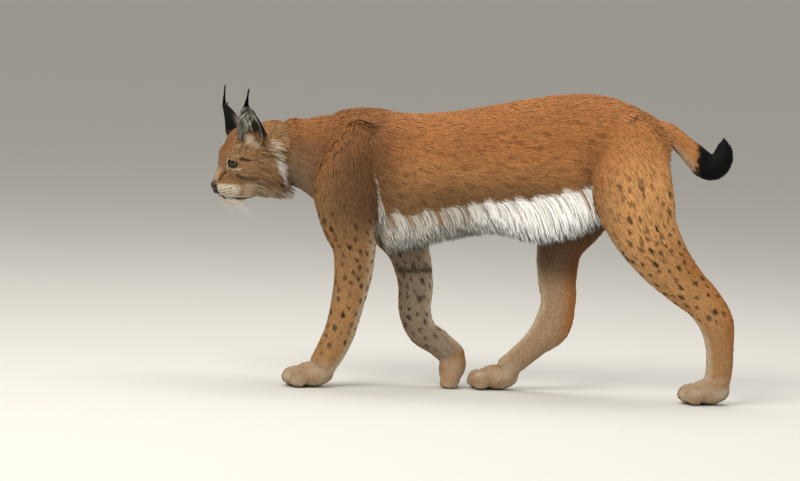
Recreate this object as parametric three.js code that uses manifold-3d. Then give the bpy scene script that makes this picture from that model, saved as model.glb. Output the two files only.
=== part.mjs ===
// A Eurasian lynx walking to -X, life size, in millimetres with +Z up.
// The floor is Z = 0, +Y is the animal's right side. The head is turned a little to its left.
import * as THREE from 'three';
import { mergeVertices } from 'three/addons/utils/BufferGeometryUtils.js';
import Module from 'manifold-3d';

const wasm = await Module();
wasm.setup();

const GAP = 0.35; // clearance between nodes that touch
const TAU = Math.PI * 2;
const SIDE = { left: -1, right: 1 };

const COLOURS = {
  coat: 0xa9744a, dark: 0x15110f, nose: 0x8a5a4c, eye: 0x8f7a4a,
};

// What moves the finished animal so that the origin is under the middle of its bounds.
const CENTRE = { x: 6.1, y: 0.6 };

// Stations of the trunk, from the breast to the rump: level of the axis, reach up and down, half width.
const TRUNK = [
  { x: -372, z: 490, up: 66, down: 62, wide: 44 },
  { x: -340, z: 485, up: 112, down: 122, wide: 66 },
  { x: -300, z: 480, up: 134, down: 152, wide: 82 },
  { x: -245, z: 475, up: 145, down: 158, wide: 92 },
  { x: -170, z: 470, up: 143, down: 144, wide: 97 },
  { x: -90, z: 474, up: 144, down: 124, wide: 97 },
  { x: 0, z: 486, up: 148, down: 116, wide: 92 },
  { x: 90, z: 502, up: 152, down: 128, wide: 87 },
  { x: 170, z: 520, up: 148, down: 128, wide: 83 },
  { x: 245, z: 535, up: 137, down: 112, wide: 80 },
  { x: 310, z: 545, up: 113, down: 98, wide: 73 },
  { x: 365, z: 548, up: 86, down: 86, wide: 60 },
  { x: 402, z: 552, up: 58, down: 60, wide: 40 },
];

// Stations of the neck, from inside the head to inside the trunk.
const NECK = [
  { x: -468, z: 504, up: 56, down: 62, wide: 48 },
  { x: -430, z: 506, up: 78, down: 72, wide: 56 },
  { x: -395, z: 500, up: 89, down: 78, wide: 60 },
  { x: -350, z: 490, up: 108, down: 96, wide: 66 },
  { x: -310, z: 486, up: 112, down: 110, wide: 66 },
];

// Stations of a limb or the tail: centre, reach to the front and back across the axis, half width.
const LEGS = {
  fore_left: [
    { x: -262, y: -48, z: 585, front: 30, back: 30, wide: 18 },
    { x: -278, y: -66, z: 512, front: 66, back: 52, wide: 34 },
    { x: -288, y: -74, z: 440, front: 78, back: 66, wide: 41 },
    { x: -285, y: -70, z: 372, front: 64, back: 64, wide: 40 },
    { x: -270, y: -64, z: 312, front: 51, back: 52, wide: 37 },
    { x: -269, y: -60, z: 250, front: 45, back: 46, wide: 34 },
    { x: -279, y: -56, z: 188, front: 39, back: 41, wide: 31 },
    { x: -291, y: -54, z: 133, front: 36, back: 39, wide: 30 },
    { x: -308, y: -53, z: 88, front: 34, back: 38, wide: 32 },
    { x: -326, y: -52, z: 50, front: 33, back: 34, wide: 34 },
  ],
  fore_right: [
    { x: -238, y: 48, z: 585, front: 30, back: 30, wide: 18 },
    { x: -236, y: 66, z: 512, front: 62, back: 56, wide: 34 },
    { x: -222, y: 73, z: 440, front: 72, back: 66, wide: 41 },
    { x: -196, y: 68, z: 368, front: 62, back: 60, wide: 40 },
    { x: -152, y: 60, z: 302, front: 50, back: 50, wide: 37 },
    { x: -132, y: 55, z: 232, front: 43, back: 44, wide: 33 },
    { x: -130, y: 52, z: 168, front: 39, back: 40, wide: 30 },
    { x: -112, y: 50, z: 124, front: 36, back: 36, wide: 30 },
    { x: -78, y: 49, z: 100, front: 33, back: 33, wide: 31 },
    { x: -46, y: 48, z: 74, front: 30, back: 33, wide: 31 },
  ],
  hind_left: [
    { x: 284, y: -36, z: 612, front: 46, back: 50, wide: 22 },
    { x: 320, y: -54, z: 540, front: 86, back: 82, wide: 38 },
    { x: 342, y: -68, z: 452, front: 98, back: 84, wide: 44 },
    { x: 364, y: -66, z: 382, front: 80, back: 74, wide: 44 },
    { x: 402, y: -60, z: 320, front: 65, back: 64, wide: 40 },
    { x: 452, y: -55, z: 266, front: 52, back: 53, wide: 34 },
    { x: 500, y: -52, z: 224, front: 44, back: 46, wide: 28 },
    { x: 529, y: -50, z: 180, front: 40, back: 44, wide: 26 },
    { x: 540, y: -48, z: 132, front: 34, back: 36, wide: 26 },
    { x: 543, y: -46, z: 86, front: 32, back: 33, wide: 28 },
    { x: 540, y: -45, z: 50, front: 32, back: 32, wide: 33 },
  ],
  hind_right: [
    { x: 268, y: 36, z: 612, front: 46, back: 52, wide: 22 },
    { x: 258, y: 54, z: 540, front: 84, back: 90, wide: 38 },
    { x: 232, y: 68, z: 452, front: 86, back: 92, wide: 44 },
    { x: 204, y: 66, z: 380, front: 66, back: 78, wide: 44 },
    { x: 184, y: 60, z: 318, front: 54, back: 56, wide: 38 },
    { x: 180, y: 55, z: 256, front: 46, back: 50, wide: 33 },
    { x: 184, y: 52, z: 200, front: 40, back: 46, wide: 28 },
    { x: 174, y: 50, z: 146, front: 44, back: 46, wide: 27 },
    { x: 140, y: 48, z: 106, front: 33, back: 34, wide: 27 },
    { x: 106, y: 47, z: 72, front: 30, back: 30, wide: 29 },
    { x: 78, y: 46, z: 46, front: 29, back: 27, wide: 32 },
  ],
};
const TAIL = [
  { x: 372, y: 0, z: 598, front: 24, back: 26, wide: 26 },
  { x: 404, y: 0, z: 590, front: 24, back: 24, wide: 24 },
  { x: 434, y: -1, z: 570, front: 24, back: 25, wide: 24 },
  { x: 463, y: -3, z: 544, front: 26, back: 28, wide: 26 },
  { x: 490, y: -5, z: 523, front: 29, back: 29, wide: 28 },
  { x: 512, y: -6, z: 521, front: 29, back: 28, wide: 28 },
  { x: 526, y: -6, z: 538, front: 26, back: 24, wide: 26 },
  { x: 530, y: -6, z: 560, front: 19, back: 17, wide: 19 },
  { x: 530, y: -6, z: 576, front: 7, back: 6, wide: 7 },
];
const TAIL_CUT = 468; // where the black end of the tail begins
const LEG_CUTS = { fore: 300, hind: 330 }; // levels where the upper legs end
const PAW_CUT = 62; // level where the paws begin

// Each paw's heel, the way that it points from above, and how far its toes drop when the heel is lifted.
const PAWS = {
  fore_left: { x: -322, y: -52, z: 34, turn: 8, drop: 0 },
  fore_right: { x: -40, y: 48, z: 78, turn: -4, drop: 74 },
  hind_left: { x: 548, y: -45, z: 34, turn: 4, drop: 0 },
  hind_right: { x: 86, y: 46, z: 34, turn: -4, drop: 0 },
};

// The head's own frame: its origin is the neck joint, -X is forwards, and it is turned to the left.
const HEAD_AT = new THREE.Vector3(-440, 0, 500);
const HEAD_TURN = THREE.MathUtils.degToRad(24);
const HEAD_CORE = new THREE.Vector3(-84, 0, -8); // the point that the head's skin is measured from

// Masses of the head: centre and radii. Those with side: true stand on both sides.
const HEAD_MASSES = [
  { c: [-72, 0, 16], r: [58, 60, 54] },
  { c: [-26, 0, 15], r: [56, 56, 66] },
  { c: [-100, 0, -22], r: [42, 44, 42] },
  { c: [-112, 27, 2], r: [22, 20, 15], side: true },
  { c: [-104, 36, -36], r: [26, 21, 20], side: true },
  { c: [-127, 0, -52], r: [29, 24, 25] },
  { c: [-125, 16, -73], r: [27, 22, 18], side: true },
  { c: [-107, 0, -94], r: [28, 24, 18] },
  { c: [-84, 28, -72], r: [38, 26, 24], side: true },
  { c: [-68, 42, -30], r: [44, 31, 42], side: true },
  { c: [-42, 0, -50], r: [48, 52, 46] },
];
const HEAD_BLEND = 17;
const EYE = { c: [-120, 32, -15], r: 12.4, gaze: [-0.76, 0.64, -0.06] };
const SOCKET = { c: [-137, 45, -15], r: [14, 12, 10], blend: 8 };
const LIDS = { thick: 2.8, wide: 12, high: 8.6, deep: 9 }; // and the almond opening between them

// Smooth union of two distances.
function soften(a, b, k) {
  const h = Math.max(k - Math.abs(a - b), 0) / k;
  return Math.min(a, b) - h * h * k * 0.25;
}

// Distance from a point to an ellipsoid, near enough for a blend.
function ellipsoid(p, c, r) {
  const q = [0, 1, 2].map((i) => (p[i] - c[i]) / r[i]);
  const g = [0, 1, 2].map((i) => q[i] / r[i]);
  const k0 = Math.hypot(...q);
  return (k0 * (k0 - 1)) / Math.max(Math.hypot(...g), 1e-6);
}

function headField(x, y, z) {
  let d = Infinity;
  for (const { c, r, side } of HEAD_MASSES) {
    const p = [x, side ? Math.abs(y) : y, z];
    d = d === Infinity ? ellipsoid(p, c, r) : soften(d, ellipsoid(p, c, r), HEAD_BLEND);
  }
  const socket = ellipsoid([x, Math.abs(y), z], SOCKET.c, SOCKET.r);
  return -soften(-d, socket, SOCKET.blend);
}

// The outermost point of the head along a direction from its core, grown by some clearance.
function headPoint(direction, grow = 0) {
  let far = 130;
  const step = 3;
  const at = (t) => HEAD_CORE.clone().addScaledVector(direction, t);
  while (far > 0 && headField(...at(far).toArray()) > 0) far -= step;
  let near = far;
  far += step;
  for (let i = 0; i < 12; i++) {
    const mid = (near + far) / 2;
    if (headField(...at(mid).toArray()) > 0) far = mid;
    else near = mid;
  }
  return at(near + grow);
}

// A closed mesh through rings of points, with a fan at each end.
function ringSkin(rings) {
  const n = rings[0].length;
  const points = rings.flat();
  const faces = [];
  for (let i = 0; i + 1 < rings.length; i++) {
    for (let j = 0; j < n; j++) {
      const k = (j + 1) % n;
      const [a, b, c, d] = [i * n + j, i * n + k, (i + 1) * n + k, (i + 1) * n + j];
      faces.push(a, b, c, a, c, d);
    }
  }
  for (const [ring, turned] of [[0, true], [rings.length - 1, false]]) {
    const middle = rings[ring].reduce((sum, p) => sum.add(p), new THREE.Vector3()).divideScalar(n);
    points.push(middle);
    for (let j = 0; j < n; j++) {
      const [a, b] = [ring * n + j, ring * n + ((j + 1) % n)];
      faces.push(points.length - 1, ...(turned ? [b, a] : [a, b]));
    }
  }
  return meshOf(points, faces);
}

// A geometry of these points and faces, with its faces turned outwards.
function meshOf(points, faces) {
  let volume = 0;
  for (let i = 0; i < faces.length; i += 3) {
    const [a, b, c] = [0, 1, 2].map((k) => points[faces[i + k]]);
    volume += a.dot(b.clone().cross(c));
  }
  const geometry = new THREE.BufferGeometry().setFromPoints(points);
  geometry.setIndex(volume < 0 ? faces.reverse() : faces);
  return geometry;
}

function solid(geometry) {
  const bare = new THREE.BufferGeometry().setAttribute('position', geometry.getAttribute('position'));
  bare.setIndex(geometry.index);
  const merged = mergeVertices(bare, 1e-3);
  return new wasm.Manifold(new wasm.Mesh({
    numProp: 3,
    vertProperties: new Float32Array(merged.attributes.position.array),
    triVerts: new Uint32Array(merged.index.array),
  }));
}

// The largest closed surface of a solid, which drops loose scraps.
function largest(made) {
  return made.decompose().sort((a, b) => b.volume() - a.volume())[0];
}

function joined(solids) {
  return solids.reduce((sum, next) => sum.add(next));
}

function geometryOf(made) {
  const mesh = made.getMesh();
  const geometry = new THREE.BufferGeometry();
  geometry.setAttribute('position', new THREE.BufferAttribute(mesh.vertProperties, 3));
  geometry.setIndex(new THREE.BufferAttribute(mesh.triVerts, 1));
  geometry.computeVertexNormals();
  return geometry;
}

// Smooth stations between the named ones. The curves share their parameter.
function stations(list, steps) {
  const centre = new THREE.CatmullRomCurve3(
    list.map((s) => new THREE.Vector3(s.x, s.y ?? 0, s.z)), false, 'catmullrom', 0.5);
  const reach = new THREE.CatmullRomCurve3(
    list.map((s) => new THREE.Vector3(s.front ?? s.up, s.back ?? s.down, s.wide)), false, 'catmullrom', 0.5);
  return Array.from({ length: steps + 1 }, (_, i) => {
    const t = i / steps;
    const size = reach.getPoint(t);
    return { at: centre.getPoint(t), along: centre.getTangent(t), front: size.x, back: size.y, wide: size.z };
  });
}

// A limb: rings across its axis, where front and back are the two reaches in the upright plane.
function limb(list, steps, sides, grow = 0) {
  const across = new THREE.Vector3(0, 1, 0);
  return ringSkin(stations(list, steps).map((s) => {
    const ahead = across.clone().cross(s.along).normalize();
    const side = s.along.clone().cross(ahead).normalize();
    return Array.from({ length: sides }, (_, j) => {
      const angle = (TAU * j) / sides;
      const deep = Math.cos(angle) >= 0 ? s.front : s.back;
      return s.at.clone()
        .addScaledVector(ahead, Math.cos(angle) * (deep + grow))
        .addScaledVector(side, Math.sin(angle) * (s.wide + grow));
    });
  }));
}

// The trunk and neck: upright rings, narrower towards the breast bone than at the ribs.
const KEEL = 0.16; // share of the width that the underside loses
function trunkRing(s, sides, grow = 0) {
  return Array.from({ length: sides }, (_, j) => {
    const angle = (TAU * j) / sides;
    const up = Math.cos(angle);
    const wide = (s.wide + grow) * (1 - KEEL * Math.max(0, -up));
    const reach = up >= 0 ? s.front : s.back;
    return new THREE.Vector3(s.at.x, s.at.y + Math.sin(angle) * wide, s.at.z + up * (reach + grow));
  });
}
function trunk(list, steps, sides, grow = 0) {
  return ringSkin(stations(list, steps).map((s) => trunkRing(s, sides, grow)));
}

// A lock of hair: a flat tapered blade from its root, bending from its way out towards its fall.
// Its width lies along flat.
const LOCK_STEPS = 3;
function lock(root, out, fall, long, wide, thick, flat = out.clone().cross(fall).normalize()) {
  const start = root.clone().addScaledVector(out, -7);
  const points = [start, root.clone()];
  const way = out.clone();
  for (let i = 1; i <= LOCK_STEPS; i++) {
    way.lerp(fall, 0.42).normalize();
    points.push(points.at(-1).clone().addScaledVector(way, long / LOCK_STEPS));
  }
  const rings = points.map((p, i) => {
    const share = i / (points.length - 1);
    const next = points[Math.min(i + 1, points.length - 1)];
    const along = next.clone().sub(points[Math.max(i - 1, 0)]).normalize();
    const up = flat.clone().cross(along).normalize();
    const taper = Math.max(0.06, (1 - share ** 2.4) * (0.8 + 0.3 * Math.sin(share * Math.PI)));
    return Array.from({ length: 4 }, (_, j) => {
      const angle = (TAU * j) / 4;
      return p.clone()
        .addScaledVector(flat, Math.cos(angle) * wide * 0.5 * taper)
        .addScaledVector(up, Math.sin(angle) * thick * 0.5 * Math.max(taper, 0.2));
    });
  });
  return solid(ringSkin(rings));
}

// A repeatable draw from -1 to 1.
let seed = 7;
function draw() {
  seed = (seed * 16807) % 2147483647;
  return (seed / 2147483647) * 2 - 1;
}

function ball(c, r, sides = 16) {
  const g = new THREE.SphereGeometry(1, sides, Math.max(5, sides / 2 + 1));
  g.scale(...r);
  g.translate(...c);
  return solid(g);
}

// The head's skin, from rays about an axis that runs from its back to its nose.
const HEAD_RINGS = 22;
const HEAD_SIDES = 24;
const HEAD_AXIS = new THREE.Vector3(-0.8, 0, -0.6);
function headSkin(grow = 0) {
  const turn = new THREE.Quaternion().setFromUnitVectors(new THREE.Vector3(0, 0, 1), HEAD_AXIS);
  const points = [headPoint(HEAD_AXIS, grow)];
  for (let i = 1; i < HEAD_RINGS; i++) {
    const polar = Math.PI * (i / HEAD_RINGS) ** 1.3;
    for (let j = 0; j < HEAD_SIDES; j++) {
      const way = new THREE.Vector3().setFromSphericalCoords(1, polar, (TAU * (j + 0.5)) / HEAD_SIDES);
      const aim = new THREE.Vector3(way.z, way.x, way.y).applyQuaternion(turn);
      points.push(headPoint(aim, grow));
    }
  }
  points.push(headPoint(HEAD_AXIS.clone().negate(), grow));
  const faces = [];
  const last = points.length - 1;
  const id = (i, j) => 1 + (i - 1) * HEAD_SIDES + (j % HEAD_SIDES);
  for (let j = 0; j < HEAD_SIDES; j++) {
    faces.push(0, id(1, j), id(1, j + 1), last, id(HEAD_RINGS - 1, j + 1), id(HEAD_RINGS - 1, j));
    for (let i = 1; i < HEAD_RINGS - 1; i++) {
      faces.push(id(i, j), id(i + 1, j), id(i + 1, j + 1), id(i, j), id(i + 1, j + 1), id(i, j + 1));
    }
  }
  return solid(meshOf(points, faces));
}

function towards(x, y, z) {
  return new THREE.Vector3(x, y, z).sub(HEAD_CORE).normalize();
}

function eyeball(side, grow = 0) {
  const [x, y, z] = EYE.c;
  return ball([x, y * side, z], [EYE.r + grow, EYE.r + grow, EYE.r + grow], 12);
}

// Two lids round each eye are a shell over the eyeball, and this almond opens it along the gaze.
function lidOpening(side) {
  const [x, y, z] = EYE.c;
  const gaze = new THREE.Vector3(EYE.gaze[0], EYE.gaze[1] * side, EYE.gaze[2]).normalize();
  const level = new THREE.Vector3(0, 0, 1).cross(gaze).normalize();
  const almond = new THREE.SphereGeometry(1, 12, 7);
  almond.scale(LIDS.wide, LIDS.high, LIDS.deep);
  almond.rotateZ(side * 0.2);
  almond.applyMatrix4(new THREE.Matrix4().makeBasis(level, gaze.clone().cross(level), gaze));
  const out = gaze.multiplyScalar(EYE.r + 1);
  almond.translate(x + out.x, y * side + out.y, z + out.z);
  return solid(almond);
}

// The line of the mouth: a groove under the whisker pads, from corner to corner.
function mouthLine() {
  const route = [
    [-84, -36, -86], [-100, -35, -90], [-118, -30, -91], [-134, -20, -88], [-143, 0, -84],
  ];
  const whole = [...route, ...route.slice(0, -1).reverse().map(([x, y, z]) => [x, -y, z])];
  const centres = whole.map(([x, y, z]) => headPoint(towards(x, y, z)));
  const curve = new THREE.CatmullRomCurve3(centres);
  const rings = Array.from({ length: 19 }, (_, i) => {
    const p = curve.getPoint(i / 18);
    const along = curve.getTangent(i / 18);
    const out = p.clone().sub(HEAD_CORE).normalize();
    const up = out.clone().cross(along).normalize();
    return Array.from({ length: 4 }, (_, j) => p.clone()
      .addScaledVector(out, Math.cos((TAU * j) / 4) * 3.6)
      .addScaledVector(up, Math.sin((TAU * j) / 4) * 1.8));
  });
  return solid(ringSkin(rings));
}

// The bare nose: a wedge over the end of the muzzle, with a slanting nostril on each side.
function noseSolid() {
  const pad = ball([-148, 0, -66], [13, 15, 11], 10).add(ball([-147, 0, -76], [9, 7, 10], 6));
  const nostrils = Object.values(SIDE).map((side) => ball([-159, 9 * side, -69], [7, 4.2, 2.8], 6));
  return pad.subtract(joined(nostrils));
}

// The side ruff: locks from under the ear round the cheek to the throat, longest at the jaw's corner.
const RUFF_ROWS = [
  { from: [-36, 54, 30], to: [-26, 46, -84], count: 6, long: 46 },
  { from: [-52, 62, 14], to: [-48, 46, -92], count: 6, long: 44 },
  { from: [-66, 66, -10], to: [-66, 42, -94], count: 5, long: 38 },
];
function ruff(side) {
  const made = [];
  for (const { from, to, count, long } of RUFF_ROWS) {
    for (let i = 0; i < count; i++) {
      const t = (i + 0.5) / count;
      const at = from.map((v, k) => THREE.MathUtils.lerp(v, to[k], t));
      const bulge = 14 * Math.sin(Math.PI * t);
      const root = headPoint(towards(at[0], (at[1] + bulge) * side, at[2]));
      const out = root.clone().sub(HEAD_CORE).normalize();
      const fall = new THREE.Vector3(0.78 - 0.35 * t, 0.18 * side, -0.35 - 0.55 * t).normalize();
      const size = long * (0.62 + 0.62 * Math.sin(Math.PI * (0.15 + 0.62 * t))) * (1 + 0.12 * draw());
      made.push(lock(root, out, fall, size, 34, 8));
    }
  }
  return made;
}

function headNode() {
  const lids = Object.values(SIDE).map((side) => eyeball(side, LIDS.thick));
  const base = joined([headSkin(), ...lids]);
  const eyes = Object.values(SIDE).flatMap((side) => [eyeball(side, GAP), lidOpening(side)]);
  const cuts = joined([...eyes, mouthLine()]);
  const locks = [...ruff(SIDE.left), ...ruff(SIDE.right)];
  return largest(joined([base.subtract(cuts), ...locks]));
}

// An ear: rings of a crescent that opens forwards and outwards, from the base to the tip, and its tuft.
const EAR = {
  base: [-76, 38, 24], tip: [-114, 68, 110], wall: 3.4,
  wide: 37, narrowing: 12, // the cup's radius at the base, and what it loses on the way to the tip
  facing: { left: 52, right: 24 }, // how far each cup turns outwards from the front, in degrees
};
const TUFT = { long: 40, wide: 10 };
function earSolid(side) {
  const [bx, by, bz] = EAR.base;
  const [tx, ty, tz] = EAR.tip;
  const turn = THREE.MathUtils.degToRad(side < 0 ? EAR.facing.left : EAR.facing.right) * side;
  const open = new THREE.Vector3(-Math.cos(turn), Math.sin(turn), 0);
  const arc = 8;
  const outer = [];
  const inner = [];
  const levels = 7;
  for (let i = 0; i <= levels; i++) {
    const t = i / levels;
    const lean = t * t * 0.35 + t * 0.65;
    const at = new THREE.Vector3(bx + (tx - bx) * lean, (by + (ty - by) * lean) * side, bz + (tz - bz) * t);
    const flare = THREE.MathUtils.lerp(0.6, 1, Math.min(1, t / 0.28) ** 0.8);
    const radius = (EAR.wide - EAR.narrowing * t) * flare * Math.sqrt(1 - t ** 2.1) + 2.2;
    const sweep = THREE.MathUtils.degToRad(THREE.MathUtils.lerp(128, 96, t));
    const wall = Math.min(EAR.wall, radius * 0.45);
    const middle = at.clone().addScaledVector(open, radius * 0.35);
    const ring = (r) => Array.from({ length: arc + 1 }, (_, j) => {
      const a = Math.PI + THREE.MathUtils.lerp(-sweep, sweep, j / arc);
      const way = open.clone().applyAxisAngle(new THREE.Vector3(0, 0, 1), a);
      return middle.clone().addScaledVector(way, r);
    });
    outer.push(ring(radius));
    inner.push(ring(radius - wall));
  }
  const rings = outer.map((ring, i) => [...ring, ...inner[i].reverse()]);
  const n = rings[0].length;
  const points = rings.flat();
  const faces = [];
  for (let i = 0; i < levels; i++) {
    for (let j = 0; j < n; j++) {
      const k = (j + 1) % n;
      faces.push(i * n + j, i * n + k, (i + 1) * n + k, i * n + j, (i + 1) * n + k, (i + 1) * n + j);
    }
  }
  for (let j = 0; j < arc; j++) {
    const [a, b, c, d] = [j, j + 1, n - 2 - j, n - 1 - j];
    faces.push(a, c, b, a, d, c);
    const top = levels * n;
    faces.push(top + a, top + b, top + c, top + a, top + c, top + d);
  }
  return { shell: solid(meshOf(points, faces)), open, tip: new THREE.Vector3(tx, ty * side, tz) };
}

function earNode(side, head) {
  const { shell, open, tip } = earSolid(side);
  const up = new THREE.Vector3(0.06, 0.1 * side, 1).normalize();
  const root = tip.clone().addScaledVector(open, -1.5).addScaledVector(up, -9);
  const fall = new THREE.Vector3(0.16, 0.05 * side, 1).normalize();
  const tuft = lock(root, up, fall, TUFT.long + 9, TUFT.wide, 5);
  return largest(joined([shell, tuft]).subtract(head));
}

// A paw: a sole and four toes that bear on the floor, and the joint with its leg.
function paw({ x, y, z, turn, drop }) {
  const toes = [-1.5, -0.5, 0.5, 1.5].map((n) => {
    const inner = Math.abs(n) < 1;
    return { c: [inner ? -72 : -60, n * 21, -13], r: [23, 13.5, 24] };
  });
  const parts = [
    ball([-30, 0, -8], [42, 36, 32], 8),
    ball([-4, 0, 0], [28, 29, 30], 6),
    ...toes.map((t) => ball(t.c, t.r, 8)),
  ];
  return joined(parts).rotate([0, -drop, turn]).translate([x, y, z]);
}

// A wide slab between two levels, for parting a leg.
function slab(low, high) {
  return solid(new THREE.BoxGeometry(3000, 1000, high - low).translate(0, 0, (low + high) / 2));
}

// Long white hair under the belly and behind the elbows: rows of locks that hang and sweep back.
const BELLY_ROWS = [
  { from: 0.25, to: 0.88, count: 11, angle: 2.35, long: 66 },
  { from: 0.27, to: 0.86, count: 10, angle: 2.75, long: 60 },
  { from: 0.25, to: 0.84, count: 9, angle: 3.14, long: 54 },
];
const BELLY_FALL = new THREE.Vector3(0.66, 0, -0.75);
const BELLY_FLAT = new THREE.Vector3(0.75, 0, 0.66);
function bellyLocks() {
  const made = [];
  const fine = 100;
  const rings = stations(TRUNK, fine);
  for (const { from, to, count, angle, long } of BELLY_ROWS) {
    for (const side of angle > 3.1 ? [1] : [1, -1]) {
      for (let i = 0; i < count; i++) {
        const t = THREE.MathUtils.lerp(from, to, (i + 0.5 + 0.12 * draw()) / count);
        const s = rings[Math.round(t * fine)];
        const wide = s.wide * (1 - KEEL * Math.max(0, -Math.cos(angle)));
        const [low, across] = [Math.cos(angle), Math.sin(angle * side)];
        const root = new THREE.Vector3(s.at.x, across * wide, s.at.z + low * s.back);
        const out = new THREE.Vector3(0, across * 0.8, low).normalize();
        const size = long * THREE.MathUtils.clamp(0.4 + 1.3 * t, 0.7, 1) * (1 + 0.14 * draw());
        made.push(lock(root, out, BELLY_FALL, size, 76, 12, BELLY_FLAT));
      }
    }
  }
  return made;
}

function nodes() {
  const made = {};
  const [body, bodyGrown] = [0, GAP].map((grow) => solid(trunk(TRUNK, 22, 20, grow)));
  const place = (s) => s.rotate([0, 0, (HEAD_TURN * 180) / Math.PI]).translate(HEAD_AT.toArray());
  const head = headNode();
  const headGrown = headSkin(GAP);
  made.head = place(head);
  for (const [name, side] of Object.entries(SIDE)) {
    made['eye_' + name] = place(eyeball(side));
    made['ear_' + name] = place(earNode(side, headGrown));
  }
  made.nose = place(largest(noseSolid().subtract(headGrown)));

  // Each leg is parted at its joints, and what it meets is cut back from it by the clearance.
  const grownLegs = {};
  for (const [name, list] of Object.entries(LEGS)) {
    const [end, side] = name.split('_');
    const whole = solid(limb(list, 16, 12)).add(paw(PAWS[name])).subtract(bodyGrown);
    const levels = {
      upper_leg: [LEG_CUTS[end] + GAP, 900], lower_leg: [PAW_CUT + GAP, LEG_CUTS[end]], paw: [0, PAW_CUT],
    };
    for (const [part, [low, high]] of Object.entries(levels)) {
      made[end + '_' + part + '_' + side] = largest(whole.intersect(slab(low, high)));
    }
    grownLegs[name] = solid(limb(list, 16, 12, GAP)).subtract(body);
  }
  made.torso = largest(joined([body, ...bellyLocks()]).subtract(joined(Object.values(grownLegs))));
  const roundNeck = joined([bodyGrown, place(headGrown), grownLegs.fore_left, grownLegs.fore_right]);
  made.neck = largest(solid(trunk(NECK, 8, 20)).subtract(roundNeck));

  const tail = solid(limb(TAIL, 16, 12)).subtract(bodyGrown);
  const behind = new THREE.BoxGeometry(400, 400, 900).translate(TAIL_CUT + 200, 0, 500);
  const before = new THREE.BoxGeometry(400, 400, 900).translate(TAIL_CUT - GAP - 200, 0, 500);
  made.tail = largest(tail.intersect(solid(before)));
  made.tail_tip = largest(tail.intersect(solid(behind)));
  return made;
}

const MATERIAL_OF = (name) => {
  if (name === 'tail_tip') return 'dark';
  if (name === 'nose') return 'nose';
  if (name.startsWith('eye')) return 'eye';
  return 'coat';
};

const lynx = new THREE.Group();
for (const [name, made] of Object.entries(nodes())) {
  const material = new THREE.MeshStandardMaterial({
    color: COLOURS[MATERIAL_OF(name)], roughness: name.startsWith('eye') ? 0.1 : 0.85, metalness: 0,
  });
  const mesh = new THREE.Mesh(geometryOf(made).translate(CENTRE.x, CENTRE.y, 0), material);
  mesh.name = name;
  lynx.add(mesh);
}

export default lynx;
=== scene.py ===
import math
from collections import namedtuple
import bpy
import numpy as np
from mathutils import Matrix, Vector
from mathutils.bvhtree import BVHTree
from mathutils.kdtree import KDTree


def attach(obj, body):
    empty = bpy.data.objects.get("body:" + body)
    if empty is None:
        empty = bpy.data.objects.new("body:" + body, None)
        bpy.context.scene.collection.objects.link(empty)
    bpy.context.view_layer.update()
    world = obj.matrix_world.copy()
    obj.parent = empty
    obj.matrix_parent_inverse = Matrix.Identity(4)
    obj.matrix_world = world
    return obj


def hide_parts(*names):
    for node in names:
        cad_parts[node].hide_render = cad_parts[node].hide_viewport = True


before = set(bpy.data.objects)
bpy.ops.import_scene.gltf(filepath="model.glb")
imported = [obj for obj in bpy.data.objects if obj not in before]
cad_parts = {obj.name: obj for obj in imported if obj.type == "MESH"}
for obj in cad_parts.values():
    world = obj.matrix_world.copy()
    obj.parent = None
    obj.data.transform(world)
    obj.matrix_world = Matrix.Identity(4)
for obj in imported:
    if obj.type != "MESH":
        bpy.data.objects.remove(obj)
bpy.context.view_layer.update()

CENTRE = np.array([6.1, 0.6, 0.0])  # moves the animal over the origin, as in the solids
TAU = math.pi * 2
SIDES = ((-1, "left"), (1, "right"))

# Trunk and neck: x, level of the axis, reach up, reach down, half width.
TRUNK = [
    (-372, 490, 66, 62, 44), (-340, 485, 112, 122, 66), (-300, 480, 134, 152, 82),
    (-245, 475, 145, 158, 92), (-170, 470, 143, 144, 97), (-90, 474, 144, 124, 97),
    (0, 486, 148, 116, 92), (90, 502, 152, 128, 87), (170, 520, 148, 128, 83),
    (245, 535, 137, 112, 80), (310, 545, 113, 98, 73), (365, 548, 86, 86, 60), (402, 552, 58, 60, 40),
]
NECK = [
    (-468, 504, 56, 62, 48), (-430, 506, 78, 72, 56), (-395, 500, 89, 78, 60),
    (-350, 490, 108, 96, 66), (-310, 486, 112, 110, 66),
]
KEEL = 0.16  # how much narrower the trunk is at its lowest line
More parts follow.
